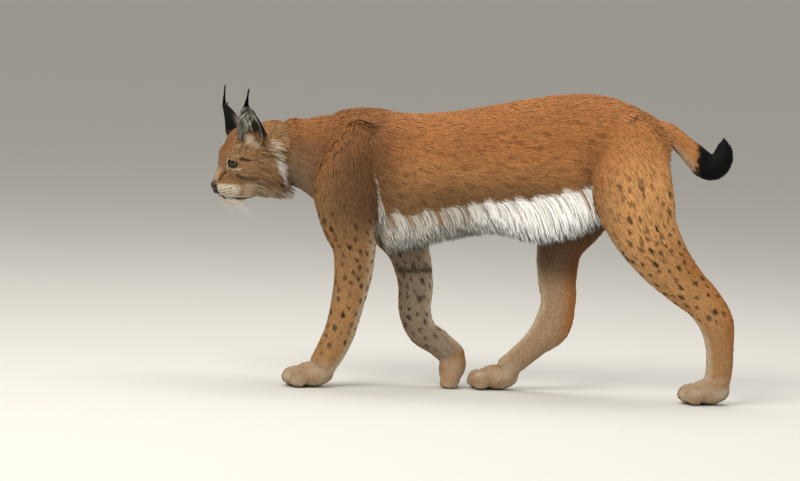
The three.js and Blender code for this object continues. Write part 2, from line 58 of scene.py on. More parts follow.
# Limbs and tail: x, y, z of the centre, reach to the front and back, half width.
LIMBS = {
    "fore_left": [
        (-262, -48, 585, 30, 30, 18), (-278, -66, 512, 66, 52, 34), (-288, -74, 440, 78, 66, 41),
        (-285, -70, 372, 64, 64, 40), (-270, -64, 312, 51, 52, 37), (-269, -60, 250, 45, 46, 34),
        (-279, -56, 188, 39, 41, 31), (-291, -54, 133, 36, 39, 30), (-308, -53, 88, 34, 38, 32),
        (-326, -52, 50, 33, 34, 34),
    ],
    "fore_right": [
        (-238, 48, 585, 30, 30, 18), (-236, 66, 512, 62, 56, 34), (-222, 73, 440, 72, 66, 41),
        (-196, 68, 368, 62, 60, 40), (-152, 60, 302, 50, 50, 37), (-132, 55, 232, 43, 44, 33),
        (-130, 52, 168, 39, 40, 30), (-112, 50, 124, 36, 36, 30), (-78, 49, 100, 33, 33, 31),
        (-46, 48, 74, 30, 33, 31),
    ],
    "hind_left": [
        (284, -36, 612, 46, 50, 22), (320, -54, 540, 86, 82, 38), (342, -68, 452, 98, 84, 44),
        (364, -66, 382, 80, 74, 44), (402, -60, 320, 65, 64, 40), (452, -55, 266, 52, 53, 34),
        (500, -52, 224, 44, 46, 28), (529, -50, 180, 40, 44, 26), (540, -48, 132, 34, 36, 26),
        (543, -46, 86, 32, 33, 28), (540, -45, 50, 32, 32, 33),
    ],
    "hind_right": [
        (268, 36, 612, 46, 52, 22), (258, 54, 540, 84, 90, 38), (232, 68, 452, 86, 92, 44),
        (204, 66, 380, 66, 78, 44), (184, 60, 318, 54, 56, 38), (180, 55, 256, 46, 50, 33),
        (184, 52, 200, 40, 46, 28), (174, 50, 146, 44, 46, 27), (140, 48, 106, 33, 34, 27),
        (106, 47, 72, 30, 30, 29), (78, 46, 46, 29, 27, 32),
    ],
    "tail": [
        (372, 0, 598, 24, 26, 26), (404, 0, 590, 24, 24, 24), (434, -1, 570, 24, 25, 24),
        (463, -3, 544, 26, 28, 26), (490, -5, 523, 29, 29, 28), (512, -6, 521, 29, 28, 28),
        (526, -6, 538, 26, 24, 26), (530, -6, 560, 19, 17, 19), (530, -6, 576, 7, 6, 7),
    ],
}
TAIL_CUT = 468  # x where the tail turns black
# Heel x, y, z, turn seen from above, and the drop of the toes where the heel is lifted.
PAWS = {
    "fore_left": (-322, -52, 34, 8, 0), "fore_right": (-40, 48, 78, -4, 74),
    "hind_left": (548, -45, 34, 4, 0), "hind_right": (86, 46, 34, -4, 0),
}
PAW_BALLS = [((-30, 0, -8), (42, 36, 32)), ((-4, 0, 0), (28, 29, 30))] + [
    ((-72 if abs(n) < 1 else -60, n * 21, -13), (23, 13.5, 24)) for n in (-1.5, -0.5, 0.5, 1.5)]

# The head has its own frame: -X is the way it looks, and it is turned toward the camera.
HEAD_AT = np.array([-440.0, 0.0, 500.0])
HEAD_TURN = math.radians(24)
HEAD_CORE = np.array([-84.0, 0.0, -8.0])
HEAD_REACH = 130.0  # further from the core than any point of the head
HEAD_BLEND = 17
HEAD_MASSES = [  # centre, radii, and 1 for a mass that both sides have
    ((-72, 0, 16), (58, 60, 54), 0), ((-26, 0, 15), (56, 56, 66), 0), ((-100, 0, -22), (42, 44, 42), 0),
    ((-112, 27, 2), (22, 20, 15), 1), ((-104, 36, -36), (26, 21, 20), 1), ((-127, 0, -52), (29, 24, 25), 0),
    ((-125, 16, -73), (27, 22, 18), 1), ((-107, 0, -94), (28, 24, 18), 0), ((-84, 28, -72), (38, 26, 24), 1),
    ((-68, 42, -30), (44, 31, 42), 1), ((-42, 0, -50), (48, 52, 46), 0),
]
EYE_C, EYE_R, GAZE = np.array([-120.0, 32.0, -15.0]), 12.4, np.array([-0.76, 0.64, -0.06])
EYE_ROLL = 0.2  # tilt of the eye's opening, in radians
SOCKET = ((-137, 45, -15), (14, 12, 10), 8)  # centre, radii, softness
LID_THICK, ALMOND = 2.8, np.array([12.0, 8.4, 9.0])
LID_LOW = 4.0  # how far over the middle of the eye the upper lid comes down
EAR = {"base": (-76, 38, 24), "tip": (-114, 68, 110), "wide": 37, "narrowing": 12, "wall": 3.4,
       "facing": {-1: 52, 1: 24}}

# How far the skin lies under the solids' surface, by part.
DEPTH = {"trunk": 9, "neck": 9, "limb": 6, "low": 3.5, "paw": 2.5, "tail": 6}

# Colours of the coat, as seen.
HEX = {
    "rufous": "a26a3b", "rust": "80502a", "tan": "9c754c", "pale": "c4b297", "white": "f4f2ed",
    "grey": "9a9282", "umber": "4a3320", "spot": "2f1f15", "black": "060505", "cream": "d6cab4",
    "lining": "17110e", "nose": "4c2b22", "orange": "a06838", "greydark": "5c5648",
    "fawn": "c8935c", "ruff": "c9c6bb",
}


def linear(code):
    """A colour code as linear light."""
    srgb = np.array([int(code[i:i + 2], 16) / 255 for i in (0, 2, 4)])
    return np.where(srgb <= 0.04045, srgb / 12.92, ((srgb + 0.055) / 1.055) ** 2.4)


C = {name: linear(code) for name, code in HEX.items()}


def unit(v):
    """Vectors brought to a length of one."""
    return v / np.maximum(np.linalg.norm(v, axis=-1, keepdims=True), 1e-9)


def smooth(a, b, x):
    """From 0 where x is at a to 1 where it is at b, with soft ends."""
    t = np.clip((x - a) / (b - a), 0, 1)
    return t * t * (3 - 2 * t)


def mix(a, b, t):
    """Colours part of the way from a to b."""
    t = np.asarray(t)[..., None]
    return a * (1 - t) + b * t


def waves(p, scale, seed=0):
    """A cheap smooth noise from -1 to 1, from a few turned sine waves."""
    rng = np.random.default_rng(seed)
    total = 0
    for _ in range(5):
        way = unit(rng.normal(size=3))
        total = total + np.sin(p @ way * TAU / (scale * rng.uniform(0.6, 1.5)) + rng.uniform(0, TAU))
    return total / 3.2


def curve(rows, steps):
    """A smooth curve through the rows, and the way its first three columns run."""
    rows = np.array(rows, float)
    full = np.vstack([2 * rows[0] - rows[1], rows, 2 * rows[-1] - rows[-2]])
    at = np.linspace(0, len(rows) - 1, steps + 1)
    i = np.minimum(at.astype(int), len(rows) - 2)
    t = (at - i)[:, None]
    a, b, c, d = full[i], full[i + 1], full[i + 2], full[i + 3]
    v0, v1 = (c - a) / 2, (d - b) / 2
    points = (2 * b - 2 * c + v0 + v1) * t ** 3 + (-3 * b + 3 * c - 2 * v0 - v1) * t ** 2 + v0 * t + b
    slope = 3 * (2 * b - 2 * c + v0 + v1) * t ** 2 + 2 * (-3 * b + 3 * c - 2 * v0 - v1) * t + v0
    return points, unit(slope[:, :3])


def ellipsoid(p, c, r):
    """Distance to an ellipsoid, near enough, and negative inside it."""
    q = (p - np.array(c)) / np.array(r)
    k0 = np.linalg.norm(q, axis=-1)
    k1 = np.linalg.norm(q / np.array(r), axis=-1)
    return k0 * (k0 - 1) / np.maximum(k1, 1e-6)


def soften(a, b, k):
    """Two distances joined as one form, rounded over k where they meet."""
    h = np.maximum(k - np.abs(a - b), 0) / k
    return np.minimum(a, b) - h * h * k * 0.25


def folded(p):
    """Points with the head's two sides laid on one another."""
    out = np.array(p, float)
    out[..., 1] = np.abs(out[..., 1])
    return out


def gaze_frame(side):
    """The eye's own axes: level, up and the way it looks."""
    gaze = unit(GAZE * np.array([1, side, 1]))
    level = unit(np.cross([0, 0, 1.0], gaze))
    up = np.cross(gaze, level)
    c, s = math.cos(side * EYE_ROLL), math.sin(side * EYE_ROLL)
    return level * c + up * s, up * c - level * s, gaze


def almond_distance(p, side):
    """Distance from a head point to the almond between the lids of that side."""
    level, up, gaze = gaze_frame(side)
    centre = EYE_C * np.array([1, side, 1]) + gaze * (EYE_R + 1)
    d = p - centre
    almond = ellipsoid(np.stack([d @ level, d @ up, d @ gaze], -1), (0, 0, 0), ALMOND)
    return np.maximum(almond, d @ up - LID_LOW)


def eye_gap(p):
    """Distance from a head point to the nearer opening between the lids."""
    return np.minimum(almond_distance(p, 1), almond_distance(p, -1))


def head_field(p, lids=True):
    """Distance to the bare head, negative inside it."""
    both = folded(p)
    d = None
    for c, r, mirrored in HEAD_MASSES:
        mass = ellipsoid(both if mirrored else p, c, r)
        d = mass if d is None else soften(d, mass, HEAD_BLEND)
    c, r, k = SOCKET
    d = -soften(-d, ellipsoid(both, c, r), k)
    if lids:
        d = soften(d, np.linalg.norm(both - EYE_C, axis=-1) - EYE_R - LID_THICK, 5)
        d = np.maximum(d, -almond_distance(both, 1))
    return d


HEAD_SPIN = np.array([[math.cos(HEAD_TURN), -math.sin(HEAD_TURN), 0],
                      [math.sin(HEAD_TURN), math.cos(HEAD_TURN), 0], [0, 0, 1]])


def head_to_world(p):
    """Points of the head's own frame, in the body's."""
    return p @ HEAD_SPIN.T + HEAD_AT


def world_to_head(p):
    return (p - HEAD_AT) @ HEAD_SPIN


def make_object(name, points, faces):
    """An object from points in millimetres before centring and an array of faces of one size."""
    mesh = bpy.data.meshes.new(name)
    points = (np.asarray(points, float) + CENTRE) / 1000
    faces = np.asarray(faces, np.int32)
    n, k = faces.shape
    mesh.vertices.add(len(points))
    mesh.vertices.foreach_set("co", points.astype(np.float32).ravel())
    mesh.loops.add(n * k)
    mesh.loops.foreach_set("vertex_index", faces.ravel())
    mesh.polygons.add(n)
    mesh.polygons.foreach_set("loop_start", np.arange(0, n * k, k, dtype=np.int32))
    mesh.update(calc_edges=True)
    mesh.polygons.foreach_set("use_smooth", np.full(n, True))
    obj = bpy.data.objects.new(name, mesh)
    bpy.context.scene.collection.objects.link(obj)
    return obj


def tint(obj, colours):
    """Stores a colour at each point, for the material to read."""
    layer = obj.data.attributes.new("tint", "FLOAT_COLOR", "POINT")
    data = np.ones((len(colours), 4), np.float32)
    data[:, :3] = np.clip(colours, 0, 1)
    layer.data.foreach_set("color", data.ravel())


def grid_faces(rings, sides):
    """Quads between closed rings of points that follow one another."""
    i, j = np.meshgrid(np.arange(rings - 1), np.arange(sides), indexing="ij")
    k = (j + 1) % sides
    quads = [i * sides + j, i * sides + k, (i + 1) * sides + k, (i + 1) * sides + j]
    return np.stack(quads, -1).reshape(-1, 4)


def cap_faces(start, sides, centre, flip):
    """Quads from an even ring to a centre."""
    j = np.arange(0, sides, 2)
    quads = np.stack([start + j, start + j + 1, start + (j + 2) % sides, np.full(len(j), centre)], -1)
    return quads[:, ::-1] if flip else quads


def outward(points, faces):
    """Faces turned so that the closed mesh holds a positive volume."""
    a, b, c, d = (points[faces[:, k]] for k in range(4))
    volume = (np.cross(b, c) * a).sum() + (np.cross(c, d) * a).sum()
    return faces if volume > 0 else faces[:, ::-1]


def read_points(mesh):
    """A mesh's points in millimetres before centring."""
    co = np.empty(len(mesh.vertices) * 3, np.float32)
    mesh.vertices.foreach_get("co", co)
    return co.reshape(-1, 3).astype(float) * 1000 - CENTRE


class Loft:
    """A form drawn through a table of stations, less the coat's depth, with the way it runs at each point."""

    def __init__(self, part, rows, steps, sides, depth):
        self.part = part
        trunk = len(rows[0]) == 5
        table = [(r[0], 0, r[1], *r[2:]) for r in rows] if trunk else rows
        points, along = curve(table, steps)
        angle = TAU * np.arange(sides) / sides
        c, s = np.cos(angle), np.sin(angle)
        rings, outs = [], []
        for row, way in zip(points, along):
            front, back, wide = np.maximum(row[3:6] - depth, 4)
            if trunk:
                w = wide * (1 - KEEL * np.maximum(0, -c))
                ring = row[:3] + np.stack([0 * c, s * w, c * np.where(c >= 0, front, back)], -1)
            else:
                ahead = unit(np.cross([0, 1.0, 0], way))
                side = unit(np.cross(way, ahead))
                ring = row[:3] + np.outer(c * np.where(c >= 0, front, back), ahead) + np.outer(s * wide, side)
            rings.append(ring)
            outs.append(np.tile(way, (sides, 1)))
        self.points = np.concatenate(rings)
        self.along = np.concatenate(outs)
        self.up = np.tile(c, steps + 1)
        self.steps, self.sides = steps, sides
        self.ends = [rings[0].mean(0), rings[-1].mean(0)]

    def mesh(self):
        n = len(self.points)
        points = np.vstack([self.points, self.ends])
        faces = np.vstack([
            grid_faces(self.steps + 1, self.sides),
            cap_faces(0, self.sides, n, True), cap_faces(n - self.sides, self.sides, n + 1, False)])
        return points, faces


def ball_points(c, r, rings=20, sides=24):
    """Points and faces of an ellipsoid."""
    polar = np.linspace(0, math.pi, rings + 1)[1:-1]
    around = TAU * np.arange(sides) / sides
    ring = np.stack([np.outer(np.sin(polar), np.cos(around)), np.outer(np.sin(polar), np.sin(around)),
                     np.outer(np.cos(polar), np.ones(sides))], -1).reshape(-1, 3)
    points = np.vstack([ring, [[0, 0, 1]], [[0, 0, -1]]]) * np.array(r) + np.array(c)
    n = len(ring)
    faces = np.vstack([grid_faces(rings - 1, sides), cap_faces(0, sides, n, True),
                       cap_faces(n - sides, sides, n + 1, False)])
    return points, faces


def paw_place(points, paw):
    """Sets a paw's own points at its heel, its toes dropped and turned."""
    x, y, z, turn, drop = paw
    a, b = math.radians(-drop), math.radians(turn)
    tilt = np.array([[math.cos(a), 0, math.sin(a)], [0, 1, 0], [-math.sin(a), 0, math.cos(a)]])
    swing = np.array([[math.cos(b), -math.sin(b), 0], [math.sin(b), math.cos(b), 0], [0, 0, 1]])
    return points @ tilt.T @ swing.T + np.array([x, y, z])


def fill(points, faces, voxel, name):
    """One closed surface round overlapping closed meshes."""
    obj = make_object(name, points, faces)
    obj.data.validate()
    remesh = obj.modifiers.new("fill", "REMESH")
    remesh.mode, remesh.voxel_size = "VOXEL", voxel / 1000
    done = obj.evaluated_get(bpy.context.evaluated_depsgraph_get())
    mesh = bpy.data.meshes.new_from_object(done)
    bpy.data.objects.remove(obj)
    quads = np.empty(len(mesh.polygons) * 4, np.int32)
    mesh.polygons.foreach_get("vertices", quads)
    result = read_points(mesh), quads.reshape(-1, 4)
    bpy.data.meshes.remove(mesh)
    return result


def relax(points, faces, rounds, values=None, weight=0.5):
    """Moves each value to the mean of its neighbours, a few times. Values default to the points."""
    edges = np.vstack([faces[:, [i, (i + 1) % faces.shape[1]]] for i in range(faces.shape[1])])
    out = np.array(points if values is None else values, float)
    count = np.bincount(edges.ravel(), minlength=len(points))[:, None]
    for _ in range(rounds):
        total = np.zeros_like(out)
        for k in range(out.shape[1]):
            total[:, k] = (np.bincount(edges[:, 0], out[edges[:, 1], k], len(points))
                           + np.bincount(edges[:, 1], out[edges[:, 0], k], len(points)))
        out += (total / np.maximum(count, 1) - out) * weight
    return out


def normals_of(points, faces):
    """The way out at each point, from the faces round it."""
    a, b, c = points[faces[:, 0]], points[faces[:, 1]], points[faces[:, 2]]
    d = points[faces[:, 3]] if faces.shape[1] == 4 else a
    face = np.cross(c - a, d - b) if faces.shape[1] == 4 else np.cross(b - a, c - a)
    total = np.zeros_like(points)
    for k in range(faces.shape[1]):
        for axis in range(3):
            total[:, axis] += np.bincount(faces[:, k], face[:, axis], len(points))
    return unit(total)


def leave(field, core, way, near, out, rounds):
    """Where rays from a core leave a form, found by halving the span from near to out."""
    for _ in range(rounds):
        middle = (near + out) / 2
        outside = field(core + way * middle[:, None]) > 0
        near, out = np.where(outside, near, middle), np.where(outside, middle, out)
    return core + way * near[:, None]


# The body's skin.
LOFTS = [Loft("trunk", TRUNK, 120, 72, DEPTH["trunk"]), Loft("neck", NECK, 50, 64, DEPTH["neck"])]
for limb_name, rows in LIMBS.items():
    if limb_name == "tail":
        LOFTS.append(Loft("tail", rows, 90, 32, DEPTH["tail"]))
        continue
    thinned = []
    for i, row in enumerate(rows):
        share = i / (len(rows) - 1)
        depth = DEPTH["limb"] * (1 - share) + DEPTH["low"] * share
        thinned.append((*row[:3], *(v - depth for v in row[3:])))
    LOFTS.append(Loft(limb_name, thinned, 110, 44, 0))

SOLE, SKIN_GRAIN = 1.2, 4.2  # height of the flat soles, and size of the skin's faces
LEGS = ("fore_left", "fore_right", "hind_left", "hind_right")
PARTS = ["trunk", "neck", *LEGS, "tail", "paw"]
body_points, body_faces, guide = [], [], []
base = 0
for loft in LOFTS:
    p, f = loft.mesh()
    body_points.append(p)
    body_faces.append(outward(p, f) + base)
    base += len(p)
    guide.append((loft.points, np.full(len(loft.points), PARTS.index(loft.part)), loft.along, loft.up))
for paw in PAWS.values():
    for c, r in PAW_BALLS:
        p, f = ball_points(c, np.array(r) - DEPTH["paw"])
        p = paw_place(p, paw)
        p[:, 2] = np.maximum(p[:, 2], SOLE)
        body_points.append(p)
        body_faces.append(outward(p, f) + base)
        base += len(p)
        toes = paw_place(np.array([[-1.0, 0, -0.35]]), paw)[0] - np.array(paw[:3])
        guide.append((p, np.full(len(p), PARTS.index("paw")), np.tile(unit(toes), (len(p), 1)),
                      np.zeros(len(p))))
BODY, BODY_FACES = fill(np.vstack(body_points), np.vstack(body_faces), SKIN_GRAIN, "body_fill")
BODY = relax(BODY, BODY_FACES, 4)

guide_points, guide_part, guide_along, guide_up = (np.concatenate(column) for column in zip(*guide))
tree = KDTree(len(guide_points))
for i, p in enumerate(guide_points):
    tree.insert(p, i)
tree.balance()
nearest = np.array([tree.find(p)[1] for p in BODY])
BODY_PART = guide_part[nearest]
BODY_UP = relax(BODY, BODY_FACES, 4, guide_up[nearest][:, None])[:, 0]
BODY_N = normals_of(BODY, BODY_FACES)


def is_part(part, *names):
    """Which points belong to the named parts."""
    return np.isin(part, [PARTS.index(name) for name in names])


def lie_of(part, along, normal):
    """The way the coat lies before it is laid on the skin."""
    out = along.copy()
    trunk = is_part(part, "trunk", "neck")
    sag = np.abs(normal[:, 1])
    out[trunk] += np.stack([0.1 + 0 * sag, 0 * sag, -0.35 * sag], -1)[trunk]
    out[is_part(part, *LEGS)] += np.array([0.28, 0, -0.1])
    out[trunk & (normal[:, 2] < -0.3)] += np.array([0, 0, -0.5])
    return unit(out)


BODY_LIE = unit(relax(BODY, BODY_FACES, 24, lie_of(BODY_PART, guide_along[nearest], BODY_N)))


def head_surface(rings, sides):
    """Rays about the axis from the back of the head to the nose, closest together at the face."""
    axis = unit(np.array([-0.8, 0, -0.6]))
    cross = np.array([0, 1.0, 0])
    third = np.cross(axis, cross)
    polar = math.pi * (np.arange(1, rings) / rings) ** 1.3
    around = TAU * (np.arange(sides) + 0.5) / sides
    way = (np.cos(polar)[:, None, None] * axis
           + np.sin(polar)[:, None, None] * (np.cos(around)[None, :, None] * cross
                                             + np.sin(around)[None, :, None] * third)).reshape(-1, 3)
    way = np.vstack([way, axis, -axis])
    far = np.full(len(way), HEAD_REACH)
    alive = np.ones(len(way), bool)
    while alive.any() and far.max() > 0:
        d = head_field(HEAD_CORE + way[alive] * far[alive][:, None])
        hit = d <= 0
        index = np.flatnonzero(alive)
        far[index[~hit]] -= np.maximum(0.5, np.minimum(3, d[~hit] * 0.4))
        alive[index[hit]] = False
        alive &= far > 5
    points = leave(head_field, HEAD_CORE, way, far, far + 3, 12)
    n = (rings - 1) * sides
    faces = np.vstack([grid_faces(rings - 1, sides)[:, ::-1], cap_faces(0, sides, n, False),
                       cap_faces(n - sides, sides, n + 1, True)])
    return points, faces


def face_depth(h):
    """Depth of the coat on the head: least on the muzzle, most from the cheeks back."""
    return 1.3 + 5.5 * smooth(-112, -60, h[:, 0])


HEAD, HEAD_FACES = head_surface(170, 230)
HEAD_N = normals_of(HEAD, HEAD_FACES)
if ((HEAD - HEAD_CORE) * HEAD_N).sum(-1).mean() < 0:
    HEAD_FACES = HEAD_FACES[:, ::-1]
    HEAD_N = -HEAD_N
keep_rim = smooth(1.0, 6.0, np.abs(eye_gap(HEAD)))  # the lids keep their full form
HEAD = HEAD - HEAD_N * (face_depth(HEAD) * keep_rim)[:, None]


def line_distance(p, line):
    """Distance to a line with corners."""
    best = np.full(len(p), np.inf)
    for a, b in zip(line[:-1], line[1:]):
        t = np.clip(((p - a) @ (b - a)) / ((b - a) @ (b - a)), 0, 1)
        best = np.minimum(best, np.linalg.norm(p - a - t[:, None] * (b - a), axis=-1))
    return best


def drop_to_head(line, steps=5):
    """A line laid on the head's skin, with more points between its corners."""
    line = np.array(line, float)
    at = np.linspace(0, len(line) - 1, (len(line) - 1) * steps + 1)
    line = np.stack([np.interp(at, np.arange(len(line)), line[:, k]) for k in range(3)], -1)
    t = np.linspace(20, HEAD_REACH, 441)
    out = []
    for p in line:
        way = unit(p - HEAD_CORE)
        inside = np.flatnonzero(head_field(HEAD_CORE + t[:, None] * way, False) < 0)
        out.append(HEAD_CORE + way * t[inside[-1] if len(inside) else 0])
    return np.array(out)


LIPS = np.array([[-82, -37, -84], [-98, -36, -91], [-116, -30, -94], [-134, -18, -90], [-146, 0, -86]], float)
MOUTH = drop_to_head(np.vstack([LIPS, LIPS[-2::-1] * [1, -1, 1]]))
PHILTRUM = drop_to_head([(-150, 0, -78), (-146, 0, -86)])
lip_gap = line_distance(HEAD, MOUTH)
groove = np.exp(-(lip_gap / 2.0) ** 2) * 3.2 - np.exp(-((lip_gap - 4.2) / 2.2) ** 2) * 0.9
groove += np.exp(-(line_distance(HEAD, PHILTRUM) / 1.8) ** 2) * 1.6
HEAD = HEAD - HEAD_N * groove[:, None]
HEAD = relax(HEAD, HEAD_FACES, 1, weight=0.35)
HEAD_N = normals_of(HEAD, HEAD_FACES)

NOSE_TIP = np.array([-152.0, 0, -66])


def head_lie(h, n):
    """Fur runs back from the nose, up over the brow and out and down over the cheeks."""
    away = unit(h - NOSE_TIP)
    out = away + np.array([0.35, 0, 0])
    cheek = smooth(-100, -55, h[:, 0]) * smooth(20, 45, np.abs(h[:, 1])) * smooth(35, 0, h[:, 2])
    out += cheek[:, None] * np.stack([0.2 + 0 * cheek, 0.25 * np.sign(h[:, 1]), -0.9 + 0 * cheek], -1)
    chin = smooth(-80, -96, h[:, 2])
    out += chin[:, None] * np.array([0.6, 0, -0.3])
    out -= (out * n).sum(-1, keepdims=True) * n * 0.8
    return unit(out)


def ear_surface(side, levels=34, arc=30):
    """A pointed cup of even wall, open to the front. Levels run up it and arc steps run round its back."""
    bx, by, bz = EAR["base"]
    tx, ty, tz = EAR["tip"]
    turn = math.radians(EAR["facing"][side]) * side
    open_way = np.array([-math.cos(turn), math.sin(turn), 0])
    outer, inner = [], []
    for i in range(levels + 1):
        t = i / levels
        lean = t * t * 0.35 + t * 0.65
        at = np.array([bx + (tx - bx) * lean, (by + (ty - by) * lean) * side, bz + (tz - bz) * t])
        flare = 0.6 + 0.4 * min(1, t / 0.28) ** 0.8
        radius = (EAR["wide"] - EAR["narrowing"] * t) * flare * math.sqrt(max(0, 1 - t ** 2.1)) + 1.6
        sweep = math.radians(128 - 32 * t)
        wall = min(EAR["wall"] - 1, radius * 0.4)
        middle = at + open_way * radius * 0.35
        a = math.pi - sweep + 2 * sweep * np.arange(arc + 1) / arc
        c, s = np.cos(a), np.sin(a)
        way = np.stack([open_way[0] * c - open_way[1] * s, open_way[0] * s + open_way[1] * c, 0 * c], -1)
        outer.append(middle + way * (radius - 1))
        inner.append(middle + way * (radius - 1 - wall))
    sides = 2 * (arc + 1)
    points = np.vstack([np.vstack([o, i[::-1]]) for o, i in zip(outer, inner)])
    faces = grid_faces(levels + 1, sides)
    j = np.arange(arc)
    ends = []
    for start, flip in ((0, True), (levels * sides, False)):
        quad = np.stack([start + j, start + j + 1, start + sides - 2 - j, start + sides - 1 - j], -1)
        ends.append(quad[:, ::-1] if flip else quad)
    faces = np.vstack([faces, *ends])
    level = np.repeat(np.linspace(0, 1, levels + 1), sides)
    across = np.tile(np.concatenate([np.arange(arc + 1), np.arange(arc + 1)[::-1]]) / arc, levels + 1)
    is_inner = np.tile(np.concatenate([np.zeros(arc + 1), np.ones(arc + 1)]), levels + 1)
    return points, faces, level, across, is_inner, open_way


EARS = {}
for side in (-1, 1):
    p, f, level, across, is_inner, open_way = ear_surface(side)
    n = normals_of(p, f)
    middle = p.mean(0)
    if ((p - middle) * n)[is_inner == 0].sum() < 0:
        f, n = f[:, ::-1], -n
    EARS[side] = (p, f, n, level, across, is_inner, open_way)


# Markings.
def on_skin(points, faces, n, weight, rng):
    """Random places on a mesh: face index and weights of its corners."""
    a, b, c, d = (points[faces[:, k]] for k in range(4))
    halves = (np.linalg.norm(np.cross(u - a, v - a), axis=1) for u, v in ((b, c), (c, d)))
    chance = sum(halves) / 2 * weight
    pick = rng.choice(len(faces), n, p=chance / chance.sum())
    u, v = rng.random(n), rng.random(n)
    corner = np.stack([(1 - u) * (1 - v), u * (1 - v), u * v, (1 - u) * v], -1)
    return pick, corner


def spread(faces, pick, corner, values):
    """Values at random places, from those of the mesh's points."""
    return (values[faces[pick]] * corner[..., None]).sum(1)


def space_out(points, gap):
    """Picks the points that stand at least their own gap from those picked before."""
    kept = []
    for i, (p, g) in enumerate(zip(points, gap)):
        if not kept or (np.linalg.norm(points[kept] - p, axis=1) >= g).all():
            kept.append(i)
    return kept


def spot_gap(p):
    """Distance between spots: close on the legs, wide on the flanks."""
    leg = smooth(430, 330, p[:, 2])
    haunch = smooth(220, 300, p[:, 0]) * smooth(560, 480, p[:, 2])
    return 25 - 8 * np.maximum(leg, haunch)


spot_rng = np.random.default_rng(5)
pick, corner = on_skin(BODY, BODY_FACES, 9000, np.ones(len(BODY_FACES)), spot_rng)
where = spread(BODY_FACES, pick, corner, BODY)
kept = space_out(where, spot_gap(where))
SPOTS, SPOT_LIE = where[kept], unit(spread(BODY_FACES, pick, corner, BODY_LIE))[kept]
SPOT_SIZE = spot_rng.uniform(0.7, 1.25, len(SPOTS))
SPOT_DARK = spot_rng.uniform(0.55, 1.0, len(SPOTS))
AT_A_TIME = 4000  # points, so that the table of distances stays small


def spot_mask(p, radius, stretch):
    """How much of a spot is at each point, from 0 to 1. Spots are drawn out along the coat."""
    out = np.zeros(len(p))
    for start in range(0, len(p), AT_A_TIME):
        some = slice(start, start + AT_A_TIME)
        d = p[some, None, :] - SPOTS[None]
        along = (d * SPOT_LIE[None]).sum(-1)
        across = (d ** 2).sum(-1) - along ** 2 * (1 - 1 / stretch[some, None] ** 2)
        far = np.sqrt(np.maximum(across, 0)) / (radius[some, None] * SPOT_SIZE[None])
        out[some] = ((1 - smooth(0.72, 1.18, far)) * SPOT_DARK[None]).max(1)
    return out


def lay(colour, *layers):
    """Mixes named colours over a colour one after another, each by its own amount."""
    for name, amount in layers:
        colour = mix(colour, C[name], amount)
    return colour


def evenly(name, count):
    """The same named colour for each of a number of points."""
    return np.tile(C[name], (count, 1))


# Darker patches of the body, partly the coat's own umber and partly painted shade: middle x and z, reach
# along x and z, and how dark.
SHOULDER_AND_FLANK_UMBER_AND_SHADE = ((-285, 470, 70, 120, 0.58), (-60, 425, 140, 44, 0.6), (110, 440, 90, 36, 0.5))
# Painted shade in the creases behind the shoulder, before the thigh and behind the elbow, in the same
# columns.
CREASE_SHADE = ((-252, 470, 34, 110, 0.6), (225, 500, 26, 70, 0.34), (-190, 380, 60, 40, 0.4))


def patches(x, z, table):
    """Soft dark patches from a table, partly the coat's umber and partly painted shade, as layers to lay on
    the coat.
    """
    return [("umber", amount * np.exp(-((x - cx) / rx) ** 2 - ((z - cz) / rz) ** 2) * (z > 250))
            for cx, cz, rx, rz, amount in table]


